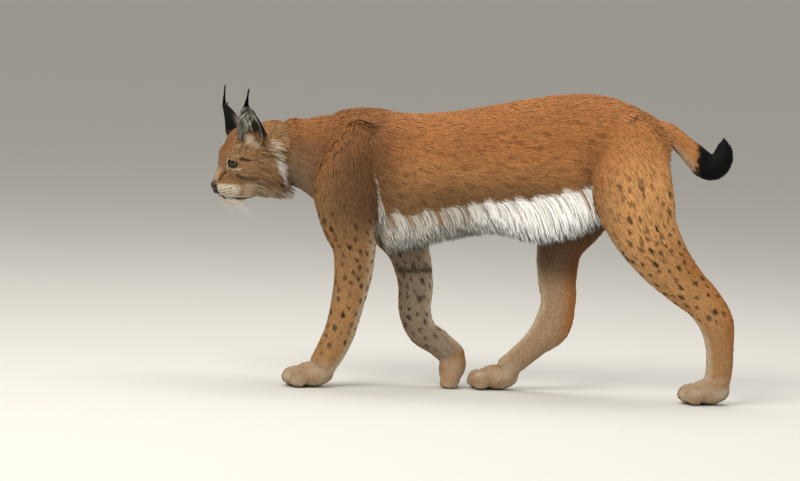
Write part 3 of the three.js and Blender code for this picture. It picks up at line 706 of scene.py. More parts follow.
def body_colour(p, n, part, up):
    """The coat's colour on the body, from where a point lies."""
    x, y, z = p.T
    trunk, tail = is_part(part, "trunk", "neck"), is_part(part, "tail")
    fore, hind = is_part(part, "fore_left", "fore_right"), is_part(part, "hind_left", "hind_right")
    lifted, far_hind = is_part(part, "fore_right"), is_part(part, "hind_right")
    colour = mix(C["tan"], C["rufous"], smooth(400, 560, z))
    # Rust down the back, grizzled streaks, a paler haunch and thigh that is partly painted light, and a
    # darker shoulder and lower flank that is partly painted shade.
    haunch = smooth(250, 330, x) * smooth(620, 470, z) * smooth(150, 220, z)
    colour = lay(colour, ("rust", 0.45 * smooth(-0.1, 0.75, up) * trunk * (0.7 + 0.3 * waves(p, 90, 3))),
                 ("umber", 0.16 * smooth(0.1, 1.0, waves(p * [0.35, 1, 1], 11, 8))),
                 ("fawn", 0.85 * haunch), *patches(x, z, SHOULDER_AND_FLANK_UMBER_AND_SHADE))
    # Neck, shoulder and breast are darker and greyer, least at the nape; the darkening is partly the coat's
    # own tone and partly painted shade.
    forward = smooth(-140, -260, x) * smooth(190, 290, z) * (1 - 0.5 * smooth(0.4, 0.9, up))
    front = smooth(-330, -410, x) * (z > 300) * (1 - 0.8 * smooth(0.3, 0.8, up))
    colour = lay(colour, ("umber", 0.42 * forward), ("umber", 0.4 * front),
                 ("grey", 0.26 * front * smooth(560, 450, z)), *patches(x, z, CREASE_SHADE))
    # Pale underside of the trunk, whitest before the haunch, flecked behind the elbow.
    under = (smooth(-0.46, -0.6, up + 0.06 * waves(p, 40, 5)) * trunk
             * smooth(-260, -200, x) * smooth(340, 300, x))
    belly = mix(C["grey"] + 0 * p, C["white"], 0.35 + 0.65 * smooth(-60, 20, x))
    fleck = smooth(0.35, 0.9, waves(p * [1, 1, 0.4], 16, 9)) * smooth(40, 0, x) * smooth(-110, -60, x)
    colour = mix(colour, lay(belly, ("greydark", 0.75 * fleck)), under)
    # Legs: grey inside, pale behind the foreleg and before the hind leg, orange at the hock, and painted
    # shade on the inner side of the far legs.
    inner = (is_part(part, "fore_left", "hind_left") * smooth(0.1, 0.75, n[:, 1])
             + is_part(part, "fore_right", "hind_right") * smooth(0.1, 0.75, -n[:, 1]))
    leg = (fore | hind) * smooth(400, 300, z)
    paws = is_part(part, "paw") | (z < 70)
    colour = lay(colour, ("tan", 0.5 * leg), ("grey", 0.66 * inner * leg * np.where(hind, 0.5, 1)),
                 # painted shade on the inner side of the far, lifted foreleg
                 ("umber", 0.34 * inner * leg * lifted),
                 ("pale", 0.75 * fore * leg * smooth(0.35, 0.85, n[:, 0])),
                 ("pale", 0.7 * hind * leg * smooth(-0.35, -0.85, n[:, 0])),
                 ("orange", 0.9 * hind * leg * smooth(-0.05, 0.6, n[:, 0]) * smooth(100, 160, z)),
                 # painted shade on the inner side of the far hind thigh
                 ("umber", 0.8 * far_hind * inner * smooth(220, 290, z)),
                 ("cream", paws * smooth(80, 30, z) * (0.32 + 0.2 * waves(p, 30, 6))),
                 ("black", 0.8 * smooth(-0.6, -0.95, n[:, 2]) * (z < 12)))
    # Tail: rufous, pale above, black at its end.
    colour = lay(colour, ("rufous", 0.6 * tail), ("pale", 0.6 * tail * smooth(0.1, 0.8, up)),
                 ("black", tail * smooth(TAIL_CUT - 6, TAIL_CUT + 6, x + 4 * waves(p, 12, 2))))
    # Spots: dark and round on the legs and thigh, faint and long on the flank.
    thigh = smooth(250, 310, x) * smooth(560, 470, z) * (z > 90)
    foreleg = smooth(460, 380, z) * (x < -60) * (z > 70)
    strong = np.clip(np.maximum(thigh * smooth(120, 200, z), foreleg * smooth(60, 110, z))
                     + 0.5 * far_hind * (z < 460), 0, 1)
    flank = trunk * smooth(-0.55, -0.2, up) * smooth(0.95, 0.4, up)
    amount = np.clip(0.95 * strong + (1 - strong) * (0.42 * flank + 0.12), 0, 1)
    amount *= (1 - 0.75 * under) * (1 - tail) * (1 - 0.8 * hind * (z < 190))
    amount *= (1 - 0.85 * inner * leg * ~lifted) * (1 - 0.6 * front)
    mask = spot_mask(p, 4.7 + 0.4 * thigh, 1.35 + 1.5 * trunk * (1 - strong))
    colour = mix(colour, mix(C["rust"] * 0.55, C["spot"], strong), mask * amount)
    # A bar and a blot inside the lifted foreleg.
    bar = np.exp(-((z - 262 - 0.08 * (x + 150)) / 6.5) ** 2) * lifted * (x > -180)
    bar = bar * smooth(0.2, -0.2, n[:, 1]) * smooth(-0.75, -0.35, n[:, 2]) * smooth(-0.95, -0.6, n[:, 0])
    blot = np.exp(-((x + 118) / 11) ** 2 - ((z - 205) / 6) ** 2) * lifted * (n[:, 1] < 0)
    return lay(colour, ("black", np.clip(0.85 * bar + 0.8 * blot, 0, 1)))


# Lines of the face on one side, in the head's frame: corners, width, colour and strength.
RUFF_STREAK = [(-58, 64, -42), (-44, 62, -52), (-34, 59, -62)]
FACE_LINES = [(drop_to_head(line), width, name, amount) for line, width, name, amount in (
    # back from the eye, across the cheek, and low on the cheek
    ([(-110, 43, -6), (-98, 52, -7), (-80, 64, -9), (-60, 72, -14), (-44, 73, -20)], 4.0, "spot", 0.92),
    ([(-112, 40, -34), (-98, 52, -43), (-76, 66, -50), (-56, 70, -58), (-38, 66, -66)], 4.6, "spot", 0.75),
    ([(-84, 56, -44), (-68, 62, -48), (-52, 63, -52)], 3.6, "spot", 0.7),
    # top of the ruff, before the ear, back of the ruff, and the black streak
    ([(-54, 56, 20), (-42, 63, 2)], 11, "cream", 0.6),
    ([(-98, 32, 36), (-95, 43, 27), (-84, 54, 19)], 7, "cream", 0.5),
    ([(-40, 65, -8), (-30, 66, -28), (-24, 62, -54), (-26, 54, -78)], 15, "white", 0.85),
    (RUFF_STREAK, 7.5, "black", 0.97),
    # tear line, inner corner and under the eye
    ([(-131, 25, -24), (-136, 20, -36), (-141, 15, -48)], 2.8, "spot", 0.85),
    ([(-132, 24, -6), (-136, 25, -20), (-136, 27, -32)], 2.3, "ruff", 0.5),
    ([(-130, 33, -27), (-122, 42, -28), (-112, 48, -24)], 2.2, "ruff", 0.55),
    # forehead
    ([(-118, 26, 8), (-108, 27, 30), (-92, 27, 48)], 2.0, "umber", 0.55),
    ([(-120, 14, 8), (-112, 14, 32), (-98, 13, 52)], 2.0, "umber", 0.55),
    ([(-112, 38, 12), (-100, 40, 28)], 2.0, "umber", 0.55),
)]
WHISKER_ROW = 6.6  # distance between the dark rows of the pad


def head_colour(h):
    """The coat's colour on the head, in the head's own frame."""
    both = folded(h)
    x, y, z = both.T
    squeezed = h * [1, 1.6, 1]
    brow = smooth(-2, 14, z) * smooth(-60, -90, x)
    stripes = smooth(0.25, 0.85, np.sin(y * TAU / 7 + 0.6 * waves(h, 30, 4)))
    fleck = smooth(0.15, 0.5, waves(h * [1, 1.5, 1], 8, 33)) * smooth(-12, 4, z)
    bridge = smooth(-118, -134, x) * smooth(17, 8, y) * smooth(-62, -52, z) * smooth(-18, -42, z)
    pad = smooth(-104, -120, x) * smooth(-58, -68, z)
    rows = smooth(0.1, 0.7, np.sin((z - 0.3 * x) * TAU / WHISKER_ROW)) * pad * smooth(6, 13, y)
    throat = smooth(-52, -66, z) * smooth(-112, -96, x) * smooth(-30, -48, x)
    colour = lay(mix(C["rufous"] + 0 * h, C["tan"], smooth(0, 50, y)),
                 ("umber", 0.2 + 0.25 * smooth(-60, -90, x) * smooth(10, -30, z)),
                 ("umber", 0.35 * smooth(0.1, 1, waves(squeezed, 8, 21))),
                 ("pale", 0.3 * smooth(0.2, 1, waves(squeezed, 7, 22))),
                 ("umber", 0.6 * stripes * brow * smooth(-0.3, 0.4, waves(h, 13, 5))),
                 ("spot", 0.5 * fleck), ("pale", 0.5 * bridge), ("cream", 0.85 * pad),
                 ("spot", 0.9 * rows * smooth(-0.35, 0.35, waves(h, 4.5, 31))),
                 ("cream", 0.9 * smooth(-84, -92, z)),
                 ("pale", 0.62 * throat * (0.75 + 0.25 * waves(h, 9, 35))))
    for line, width, name, amount in FACE_LINES:
        edge = line_distance(both, line) + 1.2 * waves(h, 8, 12) + 0.3 * width * waves(h * [0.4, 1, 1], 6, 13)
        colour = lay(colour, (name, amount * (1 - smooth(width * 0.5, width * 1.4, edge))))
    cheek = smooth(-100, -70, x) * smooth(24, 46, y) * smooth(30, 10, z)
    over_eye = np.exp(-((z - 1) / 3) ** 2 - ((x + 122) / 10) ** 2)
    nose_gap = np.linalg.norm((both - [-147, 0, -74]) / [1, 1.3, 1.1], axis=1)
    return lay(colour, ("umber", 0.3 * cheek),
               ("spot", 0.55 * cheek * smooth(0.2, 0.9, waves(h * [0.3, 1, 1.3], 8, 14))),
               ("pale", 0.35 * over_eye), ("lining", 1 - smooth(0.9, 2.6, almond_distance(both, 1))),
               ("lining", 1 - smooth(1.6, 4.4, line_distance(h, MOUTH) - 1.2 * (z < -88))),
               ("black", 1 - smooth(9, 13, nose_gap)))


def ear_colour(level, across, is_inner):
    """Black back with a grey middle and a tan foot; dark inside with a pale rim."""
    edge = np.minimum(across, 1 - across) * 2
    rim = 1 - smooth(0.06, 0.3, edge)
    colour = lay(evenly("black", len(level)),
                 ("grey", 0.8 * smooth(0.35, 0.75, edge) * smooth(0.78, 0.5, level)),
                 ("tan", smooth(0.32, 0.12, level)),
                 ("black", np.maximum(0.6 * rim, smooth(0.8, 0.95, level))))
    return mix(colour, lay(evenly("greydark", len(level)) * 0.45, ("cream", rim * 0.8)), is_inner)


# Materials.
def node(tree, kind, settings=None, links=None):
    """Adds a node, sets its fields and sockets, and links sockets from others."""
    made = tree.nodes.new(kind)
    for key, value in (settings or {}).items():
        if isinstance(key, int) or key in made.inputs:
            made.inputs[key].default_value = value
        else:
            setattr(made, key, value)
    for key, source in (links or {}).items():
        tree.links.new(source, made.inputs[key])
    return made


def new_material(name, **plain):
    """A material, its tree and its shader, with the sockets that are the same all over."""
    material = bpy.data.materials.new(name)
    material.use_nodes = True
    shader = material.node_tree.nodes["Principled BSDF"]
    for key, value in plain.items():
        shader.inputs[key.replace("_", " ")].default_value = value
    return material, material.node_tree, shader


def fur_material(name, rough, bump, clumps):
    """Animal hair: dry and matt, in the colours of the markings, broken by darker and paler hairs.

    Real hairs are under 0.1 mm thick, too fine to show, so the break is drawn as coarse as small clumps
    of them, a number of clumps a metre.
    """
    material, tree, shader = new_material(name, Roughness=rough, Specular_IOR_Level=0.12)
    markings = node(tree, "ShaderNodeAttribute", {"attribute_name": "tint"})
    place = node(tree, "ShaderNodeTexCoord")
    hairs = node(tree, "ShaderNodeTexNoise", {"Scale": clumps, "Detail": 4.0},
                 {"Vector": place.outputs["Object"]})
    level = node(tree, "ShaderNodeMapRange",
                 {"From Min": 0.3, "From Max": 0.7, "To Min": 0.84, "To Max": 1.16},
                 {"Value": hairs.outputs["Fac"]})
    colour = node(tree, "ShaderNodeMix", {"data_type": "RGBA", "blend_type": "MULTIPLY", 0: 1.0},
                  {6: markings.outputs["Color"], 7: level.outputs["Result"]})
    tree.links.new(colour.outputs[2], shader.inputs["Base Color"])
    if bump:
        lift = node(tree, "ShaderNodeBump", {"Strength": bump, "Distance": 0.0015},
                    {"Height": hairs.outputs["Fac"]})
        tree.links.new(lift.outputs["Normal"], shader.inputs["Normal"])
    return material


# Under-fur, short and dense: no shine, and a fine broken relief. Its clumps are 2.4 mm, 420 a metre.
SKIN_FUR = fur_material("short_fur", 0.85, 0.6, 420.0)
# The long hair over it is a little smoother, and its clumps are 3.8 mm, 260 a metre.
COAT_FUR = fur_material("long_fur", 0.62, 0.0, 260.0)


def finish_piece(obj, material, slot, *replaced):
    """Gives a piece its material and its body, and hides the solids that it replaces. The slot is not used.
    """
    obj.data.materials.clear()
    obj.data.materials.append(material)
    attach(obj, "root")
    if replaced:
        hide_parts(*replaced)


# The skin as one mesh: body, head and ears.
SKIN_SHADE = 0.8  # the skin is darker than the hair over it
skin_points, skin_faces = [BODY, head_to_world(HEAD)], [BODY_FACES, HEAD_FACES + len(BODY)]
skin_tint = [body_colour(BODY, BODY_N, BODY_PART, BODY_UP), head_colour(HEAD)]
for p, f, n, level, across, is_inner, open_way in EARS.values():
    skin_faces.append(f + sum(map(len, skin_points)))
    skin_points.append(head_to_world(p))
    skin_tint.append(ear_colour(level, across, is_inner))
SKIN = make_object("skin", np.vstack(skin_points), np.vstack(skin_faces))
tint(SKIN, np.vstack(skin_tint) * SKIN_SHADE)
bpy.context.view_layer.objects.active = SKIN
SKIN.select_set(True)
bpy.ops.object.mode_set(mode="EDIT")
bpy.ops.mesh.select_all(action="SELECT")
bpy.ops.uv.smart_project(angle_limit=math.radians(66), island_margin=0.0)
bpy.ops.object.mode_set(mode="OBJECT")
SKIN.data.uv_layers[0].name = "OFBake"
flat = np.empty(len(SKIN.data.loops) * 2, np.float32)
SKIN.data.uv_layers[0].data.foreach_get("uv", flat)
SKIN_UV = flat.reshape(-1, 4, 2).astype(float)
leg_solids = (f"{end}_{part}_{label}" for end in ("fore", "hind")
              for part in ("upper_leg", "lower_leg", "paw") for _, label in SIDES)
finish_piece(SKIN, SKIN_FUR, "coat", "head", "ear_left", "ear_right", "neck", "torso", "tail", "tail_tip",
             *leg_solids)


# Tufts.
SOFT_SIDE = 0.45  # how far a blade's edges turn their shading outward, so that it looks round
HALF_PATCH = 0.0015  # half the width of what a blade takes of the unwrap
ROOT_SHADE, TIP_SHADE = 0.7, 1.1  # a tuft is darker at its root and paler at its tip
ROOT_SINK = 1.4  # how deep a tuft starts under the skin
BEND = 0.9  # how far a tuft has lain down by its tip
SHARE = 1.0
coat_rng = np.random.default_rng(23)
Ground = namedtuple("Ground", "points faces normals lie unwrap place")  # place turns to the world, or is None


def blades(root, ways, normal, length, width, colours, uv, name):
    """Closed tapered blades: a root point, three-sided rings and a tip. ways holds each step's direction."""
    count, rings = len(root), len(ways) - 1
    side = unit(np.cross(ways[0], normal))
    path = [root]
    for way in ways:
        path.append(path[-1] + way * (length / len(ways))[:, None])
    per = rings * 3 + 2
    points = np.empty((count, per, 3))
    points[:, 0], points[:, -1] = root, path[-1]
    soft = np.repeat(normal[:, None, :], per, axis=1)
    shade, patch = np.full(per, ROOT_SHADE), np.zeros((per, 2))
    shade[-1], patch[0], patch[-1] = TIP_SHADE, [0, -1], [0, 1]
    tri = [[0, 1 + (k + 1) % 3, 1 + k] for k in range(3)]
    for i in range(rings):
        share, ring = (i + 1) / (rings + 1), 1 + i * 3
        half = (width * 0.5 * (1.12 - 0.6 * share ** 2))[:, None]
        points[:, ring] = path[i + 1] + side * half
        points[:, ring + 1] = path[i + 1] - side * half
        points[:, ring + 2] = path[i + 1] + unit(np.cross(side, ways[i])) * half * 0.5
        soft[:, ring] += side * SOFT_SIDE
        soft[:, ring + 1] -= side * SOFT_SIDE
        shade[ring:ring + 3] = 0.82 + 0.2 * share
        patch[ring:ring + 3] = [[k, 2 * share - 1] for k in (-1, 1, 0)]
        for k in range(3 if i + 1 < rings else 0):
            here, beside = ring + k, ring + (k + 1) % 3
            tri += [[here, beside, here + 3], [beside, beside + 3, here + 3]]
    tri += [[ring + k, ring + (k + 1) % 3, per - 1] for k in range(3)]
    faces = (np.array(tri)[None] + (np.arange(count) * per)[:, None, None]).reshape(-1, 3)
    obj = make_object(name, points.reshape(-1, 3), faces)
    obj.data.normals_split_custom_set_from_vertices(unit(soft).reshape(-1, 3).tolist())
    tint(obj, (colours[:, None, :] * shade[None, :, None]).reshape(-1, 3))
    corner = (uv[:, None, :] + patch[None] * HALF_PATCH).reshape(-1, 2)
    layer = obj.data.uv_layers.new(name="OFBake")
    layer.data.foreach_set("uv", np.clip(corner[faces.ravel()], 0, 1).astype(np.float32).ravel())
    return obj


def plant(name, ground, count, weight, colour, length, width, lift, always=0, keep=None, rings=1,
          fall=None, flat=True, vary=0.15, facing=None):
    """Grows tufts on a ground as one piece. Colour, length and fall are one value each, or functions."""
    points, faces, normals, lie, unwrap, place = ground
    pick, corner = on_skin(points, faces, int(count * SHARE) + always, weight, coat_rng)
    at, way = spread(faces, pick, corner, points), spread(faces, pick, corner, lie)
    up = unit(spread(faces, pick, corner, normals))
    if keep:
        good = keep(at)
        pick, corner, at, up, way = (values[good] for values in (pick, corner, at, up, way))
    if flat:
        clump = np.stack([waves(at, 34, seed) for seed in (41, 42, 43)], -1)
        clump += 0.5 * np.stack([waves(at, 12, seed) for seed in (51, 52, 53)], -1)
        way = way + clump * 0.1 + coat_rng.normal(size=way.shape) * 0.06
        way = way - (way * up).sum(-1, keepdims=True) * up
    way = unit(way)
    colours = evenly(colour, len(at)) if isinstance(colour, str) else colour(pick, corner, at, up)
    length = (length(at) if callable(length) else length) * coat_rng.uniform(0.78, 1.15, len(at))
    rise = up * (lift * coat_rng.uniform(0.6, 1.4, len(at)))[:, None]
    ways = [unit(way + rise)]
    for i in range(1, rings + 1):
        step = way + rise * (1 - BEND * i / rings)
        if fall is not None:
            step = step + (fall(at) if callable(fall) else np.array(fall)) * (i / rings)
        ways.append(unit(step))
    root = at - up * ROOT_SINK
    if facing:
        up = facing(at)
    if place:
        root, ways = place(root), [place(root + w) - place(root) for w in ways]
        up = place(at + up) - place(at)
    colours = colours * coat_rng.uniform(1 - vary, 1 + vary, len(at))[:, None]
    width = width * coat_rng.uniform(0.75, 1.3, len(at))
    uv = (unwrap[pick] * corner[..., None]).sum(1)
    finish_piece(blades(root, ways, up, length, width, colours, uv, name), COAT_FUR, "coat")


# The short coat of the body, by region: its faces and its number of tufts.
BODY_GROUND = Ground(BODY, BODY_FACES, BODY_N, BODY_LIE, SKIN_UV[:len(BODY_FACES)], None)
middle = BODY[BODY_FACES].mean(1)
face_part = BODY_PART[BODY_FACES[:, 0]]
free = head_field(world_to_head(middle), False) >= -4
fore_end = (middle[:, 0] <= -452) & (np.abs(BODY_N[BODY_FACES].mean(1)[:, 0]) >= 0.6)
trunk, tail = is_part(face_part, "trunk"), is_part(face_part, "tail")
paws = is_part(face_part, "paw")
left, rear, on_tip = middle[:, 1] < 0, middle[:, 0] >= 60, middle[:, 0] > TAIL_CUT - 4
REGIONS = {
    "coat_neck": (is_part(face_part, "neck") & free & ~fore_end, 11000),
    "coat_trunk_front_left": (trunk & left & ~rear, 17500),
    "coat_trunk_front_right": (trunk & ~left & ~rear, 12500),
    "coat_trunk_rear_left": (trunk & left & rear, 13500),
    "coat_trunk_rear_right": (trunk & ~left & rear, 9500),
    "coat_fore_left": (is_part(face_part, "fore_left"), 15500),
    "coat_fore_right": (is_part(face_part, "fore_right"), 11500),
    "coat_hind_left": (is_part(face_part, "hind_left"), 19000),
    "coat_hind_right": (is_part(face_part, "hind_right"), 13000),
}
low = smooth(330, 90, middle[:, 2]) * is_part(face_part, *LEGS) + paws  # thicker down the legs


def body_tint(pick, corner, at, up):
    """Colours of the tufts of the body."""
    level = spread(BODY_FACES, pick, corner, BODY_UP[:, None])[:, 0]
    return body_colour(at, up, face_part[pick], level)


def body_length(p):
    """Length of the short coat: long on the back and neck, short down the legs."""
    z = p[:, 2]
    return 25 - 13 * smooth(420, 250, z) - 4 * smooth(90, 40, z)


for name, (faces, count) in REGIONS.items():
    plant(name, BODY_GROUND, count, faces * (1 + 1.2 * low), body_tint, body_length, 3.7, 0.24)
plant("coat_paws", BODY_GROUND, 9500, paws & (middle[:, 2] > 6), body_tint, 7.5, 2.2, 0.3)
plant("coat_tail", BODY_GROUND, 4200, tail & ~on_tip, body_tint, 19.0, 3.6, 0.42)
plant("coat_tail_tip", BODY_GROUND, 4200, tail & on_tip, body_tint, 15.0, 3.2, 1.5)

# The long white hair of the belly hangs and sweeps back.
belly = (trunk * smooth(-0.5, -0.68, BODY_UP[BODY_FACES].mean(1)) * (middle[:, 0] > -225)
         * (middle[:, 0] < 300))


def belly_length(p):
    """Longest in the middle and before the haunch."""
    x = p[:, 0]
    return 50 + 34 * smooth(0, 110, x) * smooth(300, 190, x)


def belly_facing(p):
    """Hanging hair is seen from the side, so its blades face outward."""
    side = np.clip(p[:, 1] / 30, -1, 1)
    return unit(np.stack([0 * side, side + 0.02, 0.45 + 0 * side], -1))


plant("coat_belly", BODY_GROUND, 9500, belly, body_tint, belly_length, 5.4, 0.3, rings=3,
      fall=(-0.1, 0, -2.2), facing=belly_facing)

# Face, cheeks and ruff.
ears_from = len(BODY_FACES) + len(HEAD_FACES)
HEAD_GROUND = Ground(HEAD, HEAD_FACES, HEAD_N, head_lie(HEAD, HEAD_N), SKIN_UV[len(BODY_FACES):ears_from],
                     head_to_world)
middle = HEAD[HEAD_FACES].mean(1)
neck_points, neck_faces = LOFTS[1].mesh()
NECK_TREE = BVHTree.FromPolygons(neck_points.tolist(), outward(neck_points, neck_faces).tolist())
by_nose = np.linalg.norm((middle - [-150, 0, -68]) / [1, 1.15, 1], axis=1) < 14.5
furry = (eye_gap(middle) >= 2.4) & ~by_nose & (line_distance(middle, MOUTH) >= 1.6)
face_weight = furry * (1 + 2.2 * smooth(-80, -112, middle[:, 0]))


def outside_neck(h):
    """Which points of the head stand clear of the neck."""
    out = np.ones(len(h), bool)
    for i, q in enumerate(head_to_world(h)):
        at, normal, _, _ = NECK_TREE.find_nearest(q)
        out[i] = at is None or (Vector(q) - at).dot(normal) >= 0
    return out


def head_tint(pick, corner, at, up):
    """Colours of the tufts of the head."""
    return head_colour(at)


def face_length(h):
    """From about 3 mm by the eyes and 5 mm on the muzzle to 31 mm at the back of the head."""
    from_eye = np.linalg.norm(folded(h) - EYE_C, axis=1)
    length = 5 + 17 * smooth(-118, -40, h[:, 0]) + 9 * smooth(-38, -12, h[:, 0])
    return length * (0.55 + 0.45 * smooth(14, 30, from_eye))


for side, label in SIDES:
    plant("coat_face_" + label, HEAD_GROUND, 18500, face_weight * (middle[:, 1] * side > 0), head_tint,
          face_length, 1.6, 0.24, keep=outside_neck, vary=0.3)

both = folded(middle)
x, y, z = both.T
ruff = smooth(-84, -66, x) * smooth(-8, -24, x) * smooth(30, 44, y) * smooth(38, 24, z)
ruff = ruff * smooth(-104, -92, z)


def ruff_length(h):
    """Longest low and at the back."""
    back = smooth(-84, -45, h[:, 0])
    return (18 + 14 * back) + 28 * smooth(30, -80, h[:, 2]) * (0.35 + 0.65 * back)


def ruff_fall(h):
    """The ruff sweeps back and hangs the more, the lower it grows."""
    drop = smooth(30, -80, h[:, 2])
    return np.stack([1.0 - 0.25 * drop, 0.12 * np.sign(h[:, 1]), -0.45 - 0.4 * drop], -1)


plant("coat_ruff", HEAD_GROUND, 4600, ruff, head_tint, ruff_length, 3.4, 0.3, keep=outside_neck, rings=3,
      fall=ruff_fall)
plant("coat_ruff_streak", HEAD_GROUND, 420, smooth(7, 3, line_distance(both, drop_to_head(RUFF_STREAK))),
      "black", 42.0, 3.0, 0.42, always=60, keep=outside_neck, rings=3, fall=ruff_fall)

# Ears: short fur on the back, long pale hair from the edges over the cup, and the black tufts.
for side, label in SIDES:
    p, f, n, level, across, is_inner, open_way = EARS[side]
    info = np.stack([level, across, is_inner], -1)
    f_level, f_across, f_inner = info[f].mean(1).T
    lie = np.tile(np.array([0.1, 0.15 * side, 1.0]), (len(p), 1))
    ear = Ground(p, f, n, lie, SKIN_UV[ears_from:ears_from + len(f)], head_to_world)
    ears_from += len(f)
    plant("coat_ear_" + label, ear, 3600, (f_inner < 0.5) & (f_level < 0.97),
          lambda pick, corner, at, up: ear_colour(*info[f[pick, 0]].T), 6.5, 1.8, 0.25)

    edge = np.minimum(f_across, 1 - f_across)
    cup = (f_inner > 0.5) * smooth(0.5, 0.14, edge) * smooth(0.9, 0.7, f_level) * (f_level > 0.12)
    heart = p[(level > 0.3) & (level < 0.6)].mean(0) + open_way * 12 + [0, 0, 14]
    lie = unit(heart - p) * 0.75 + open_way * 0.35 + [0, 0, 0.75]
    plant("hair_ear_cup_" + label, ear._replace(lie=lie), 2200, cup,
          lambda pick, corner, at, up: lay(evenly("ruff", len(at)),
                                           ("greydark", np.clip(0.5 + waves(at, 9, 3), 0, 1))),
          24.0, 1.7, 0.0, rings=3, flat=False, vary=0.35)

    aim = np.array([EAR["tip"][0] + 4.0, (EAR["tip"][1] + 2.0) * side, EAR["tip"][2] + 33.0])
    waist = aim - [4.0, 2.0 * side, 18.0]
    plant("hair_ear_tuft_" + label, ear._replace(lie=unit(waist - p)), 420, f_level > 0.955, "black",
          lambda h: np.linalg.norm(aim - h, axis=1) * 1.04, 1.3, 0.0, always=60, rings=3,
          fall=2.4 * unit(aim - waist), flat=False)


# Whiskers.
def set_stops(ramp, stops):
    """Sets a colour ramp from places and colour codes."""
    while len(ramp.color_ramp.elements) < len(stops):
        ramp.color_ramp.elements.new(0.5)
    for element, (at, code) in zip(ramp.color_ramp.elements, stops):
        element.position, element.color = at, (*linear(code), 1)


def whisker_material():
    """Stiff white hair, grown thick and smooth, so it shines a little more than the fur.

    The noise runs over the piece's own box, 20 to 185 mm a side, so 60 makes paler lengths of up to 3 mm.
    """
    material, tree, shader = new_material("whisker_hair", Roughness=0.4)
    hair = node(tree, "ShaderNodeTexNoise", {"Scale": 60.0})
    ramp = node(tree, "ShaderNodeValToRGB", {}, {"Fac": hair.outputs["Fac"]})
    set_stops(ramp, ((0.0, "c9c4b8"), (1.0, "f2efe8")))
    tree.links.new(ramp.outputs["Color"], shader.inputs["Base Color"])
    return material


WHISKER = whisker_material()
WHISKER_STEPS = 8


def whiskers(name, side):
    """Long white hairs from the pad, and a few over the eye, each a thin three-sided rod."""
    rng = np.random.default_rng(60 + side)
    pad = [(-132 + 6 * j, (17 + 2.4 * j), -70 - 4.2 * i) for i in range(4) for j in range(4)]
    brow = [(-120, 26, 12), (-117, 30, 13), (-114, 33, 12)]
    quads = grid_faces(WHISKER_STEPS + 1, 3)
    tip = WHISKER_STEPS * 3
    rod = np.vstack([quads[:, [[0, 1, 2], [0, 2, 3]]].reshape(-1, 3), [[0, 2, 1], [tip, tip + 1, tip + 2]]])
    points, faces = [], []
    for i, (x, y, z) in enumerate(pad + brow):
        over_eye = i >= len(pad)
        root = drop_to_head([(x, y * side, z)])[0]
        out = unit(root - HEAD_CORE)
        way = unit(out * 0.3 + np.array([0.75, 0.5 * side, -0.3 + 1.1 * over_eye]))
        across = unit(np.cross(way, [0, 0, 1.0]))
        third = np.cross(way, across)
        length = rng.uniform(24, 34) if over_eye else rng.uniform(38, 82)
        faces.append(rod + len(points))
        for k in range(WHISKER_STEPS + 1):
            t = k / WHISKER_STEPS
            half = 0.26 * (1 - t) + 0.04
            at = root - out + way * length * t + np.array([0.18, 0, -0.2]) * length * t * t
            for turn in (TAU * a / 3 for a in range(3)):
                points.append(at + across * math.cos(turn) * half + third * math.sin(turn) * half)
    obj = make_object(name, head_to_world(np.array(points)), np.vstack(faces))
    finish_piece(obj, WHISKER, "coat")


whiskers("whiskers_left", -1)
whiskers("whiskers_right", 1)


# Eyes.
def eye_material():
    """A wet eye, clear and very smooth, so it holds a small sharp light.

    Round black pupil, yellow-green iris, dark rim and brown white, in rings about the way it looks.
    The iris has rays of about 1.1 mm, 900 a metre.
    """
    material, tree, shader = new_material("wet_eye", Roughness=0.12, Specular_IOR_Level=0.2,
                                          Coat_Weight=0.6, Coat_Roughness=0.03)
    place = node(tree, "ShaderNodeTexCoord").outputs["Object"]
    split = node(tree, "ShaderNodeSeparateXYZ", {}, {"Vector": place})
    flat = node(tree, "ShaderNodeCombineXYZ", {}, {"X": split.outputs["X"], "Y": split.outputs["Y"]})
    far = node(tree, "ShaderNodeVectorMath", {"operation": "LENGTH"}, {0: flat.outputs["Vector"]})
    scaled = node(tree, "ShaderNodeMath", {"operation": "MULTIPLY", 1: 1000 / EYE_R},
                  {0: far.outputs["Value"]})
    rays = node(tree, "ShaderNodeTexNoise", {"Scale": 900.0, "Detail": 3.0}, {"Vector": place})
    shift = node(tree, "ShaderNodeMath", {"operation": "MULTIPLY_ADD", 1: 0.08, 2: -0.04},
                 {0: rays.outputs["Fac"]})
    total = node(tree, "ShaderNodeMath", {"operation": "ADD"},
                 {0: scaled.outputs["Value"], 1: shift.outputs["Value"]})
    ramp = node(tree, "ShaderNodeValToRGB", {}, {"Fac": total.outputs["Value"]})
    set_stops(ramp, ((0.0, "050403"), (0.36, "050403"), (0.40, "2b2c1b"), (0.54, "4b4b2e"),
                     (0.66, "33321f"), (0.72, "15110b"), (0.9, "0e0b08")))
    tree.links.new(ramp.outputs["Color"], shader.inputs["Base Color"])
    return material


WET_EYE = eye_material()
for side, label in SIDES:
    p, f = ball_points((0, 0, 0), (EYE_R, EYE_R, EYE_R), 40, 48)
    p[:, 2] += smooth(EYE_R * 0.72, EYE_R * 0.95, p[:, 2]) * 0.5  # the clear front stands out
    eyeball = make_object("eyeball_" + label, p - CENTRE, f)
    matrix = Matrix((HEAD_SPIN @ np.stack(gaze_frame(side), 1)).tolist()).to_4x4()
    matrix.translation = Vector((head_to_world(EYE_C * [1, side, 1]) + CENTRE) / 1000)
    eyeball.matrix_world = matrix
    finish_piece(eyeball, WET_EYE, "eye", "eye_" + label)

# Nose.
NOSE_CORE = np.array([-143.0, 0, -68])


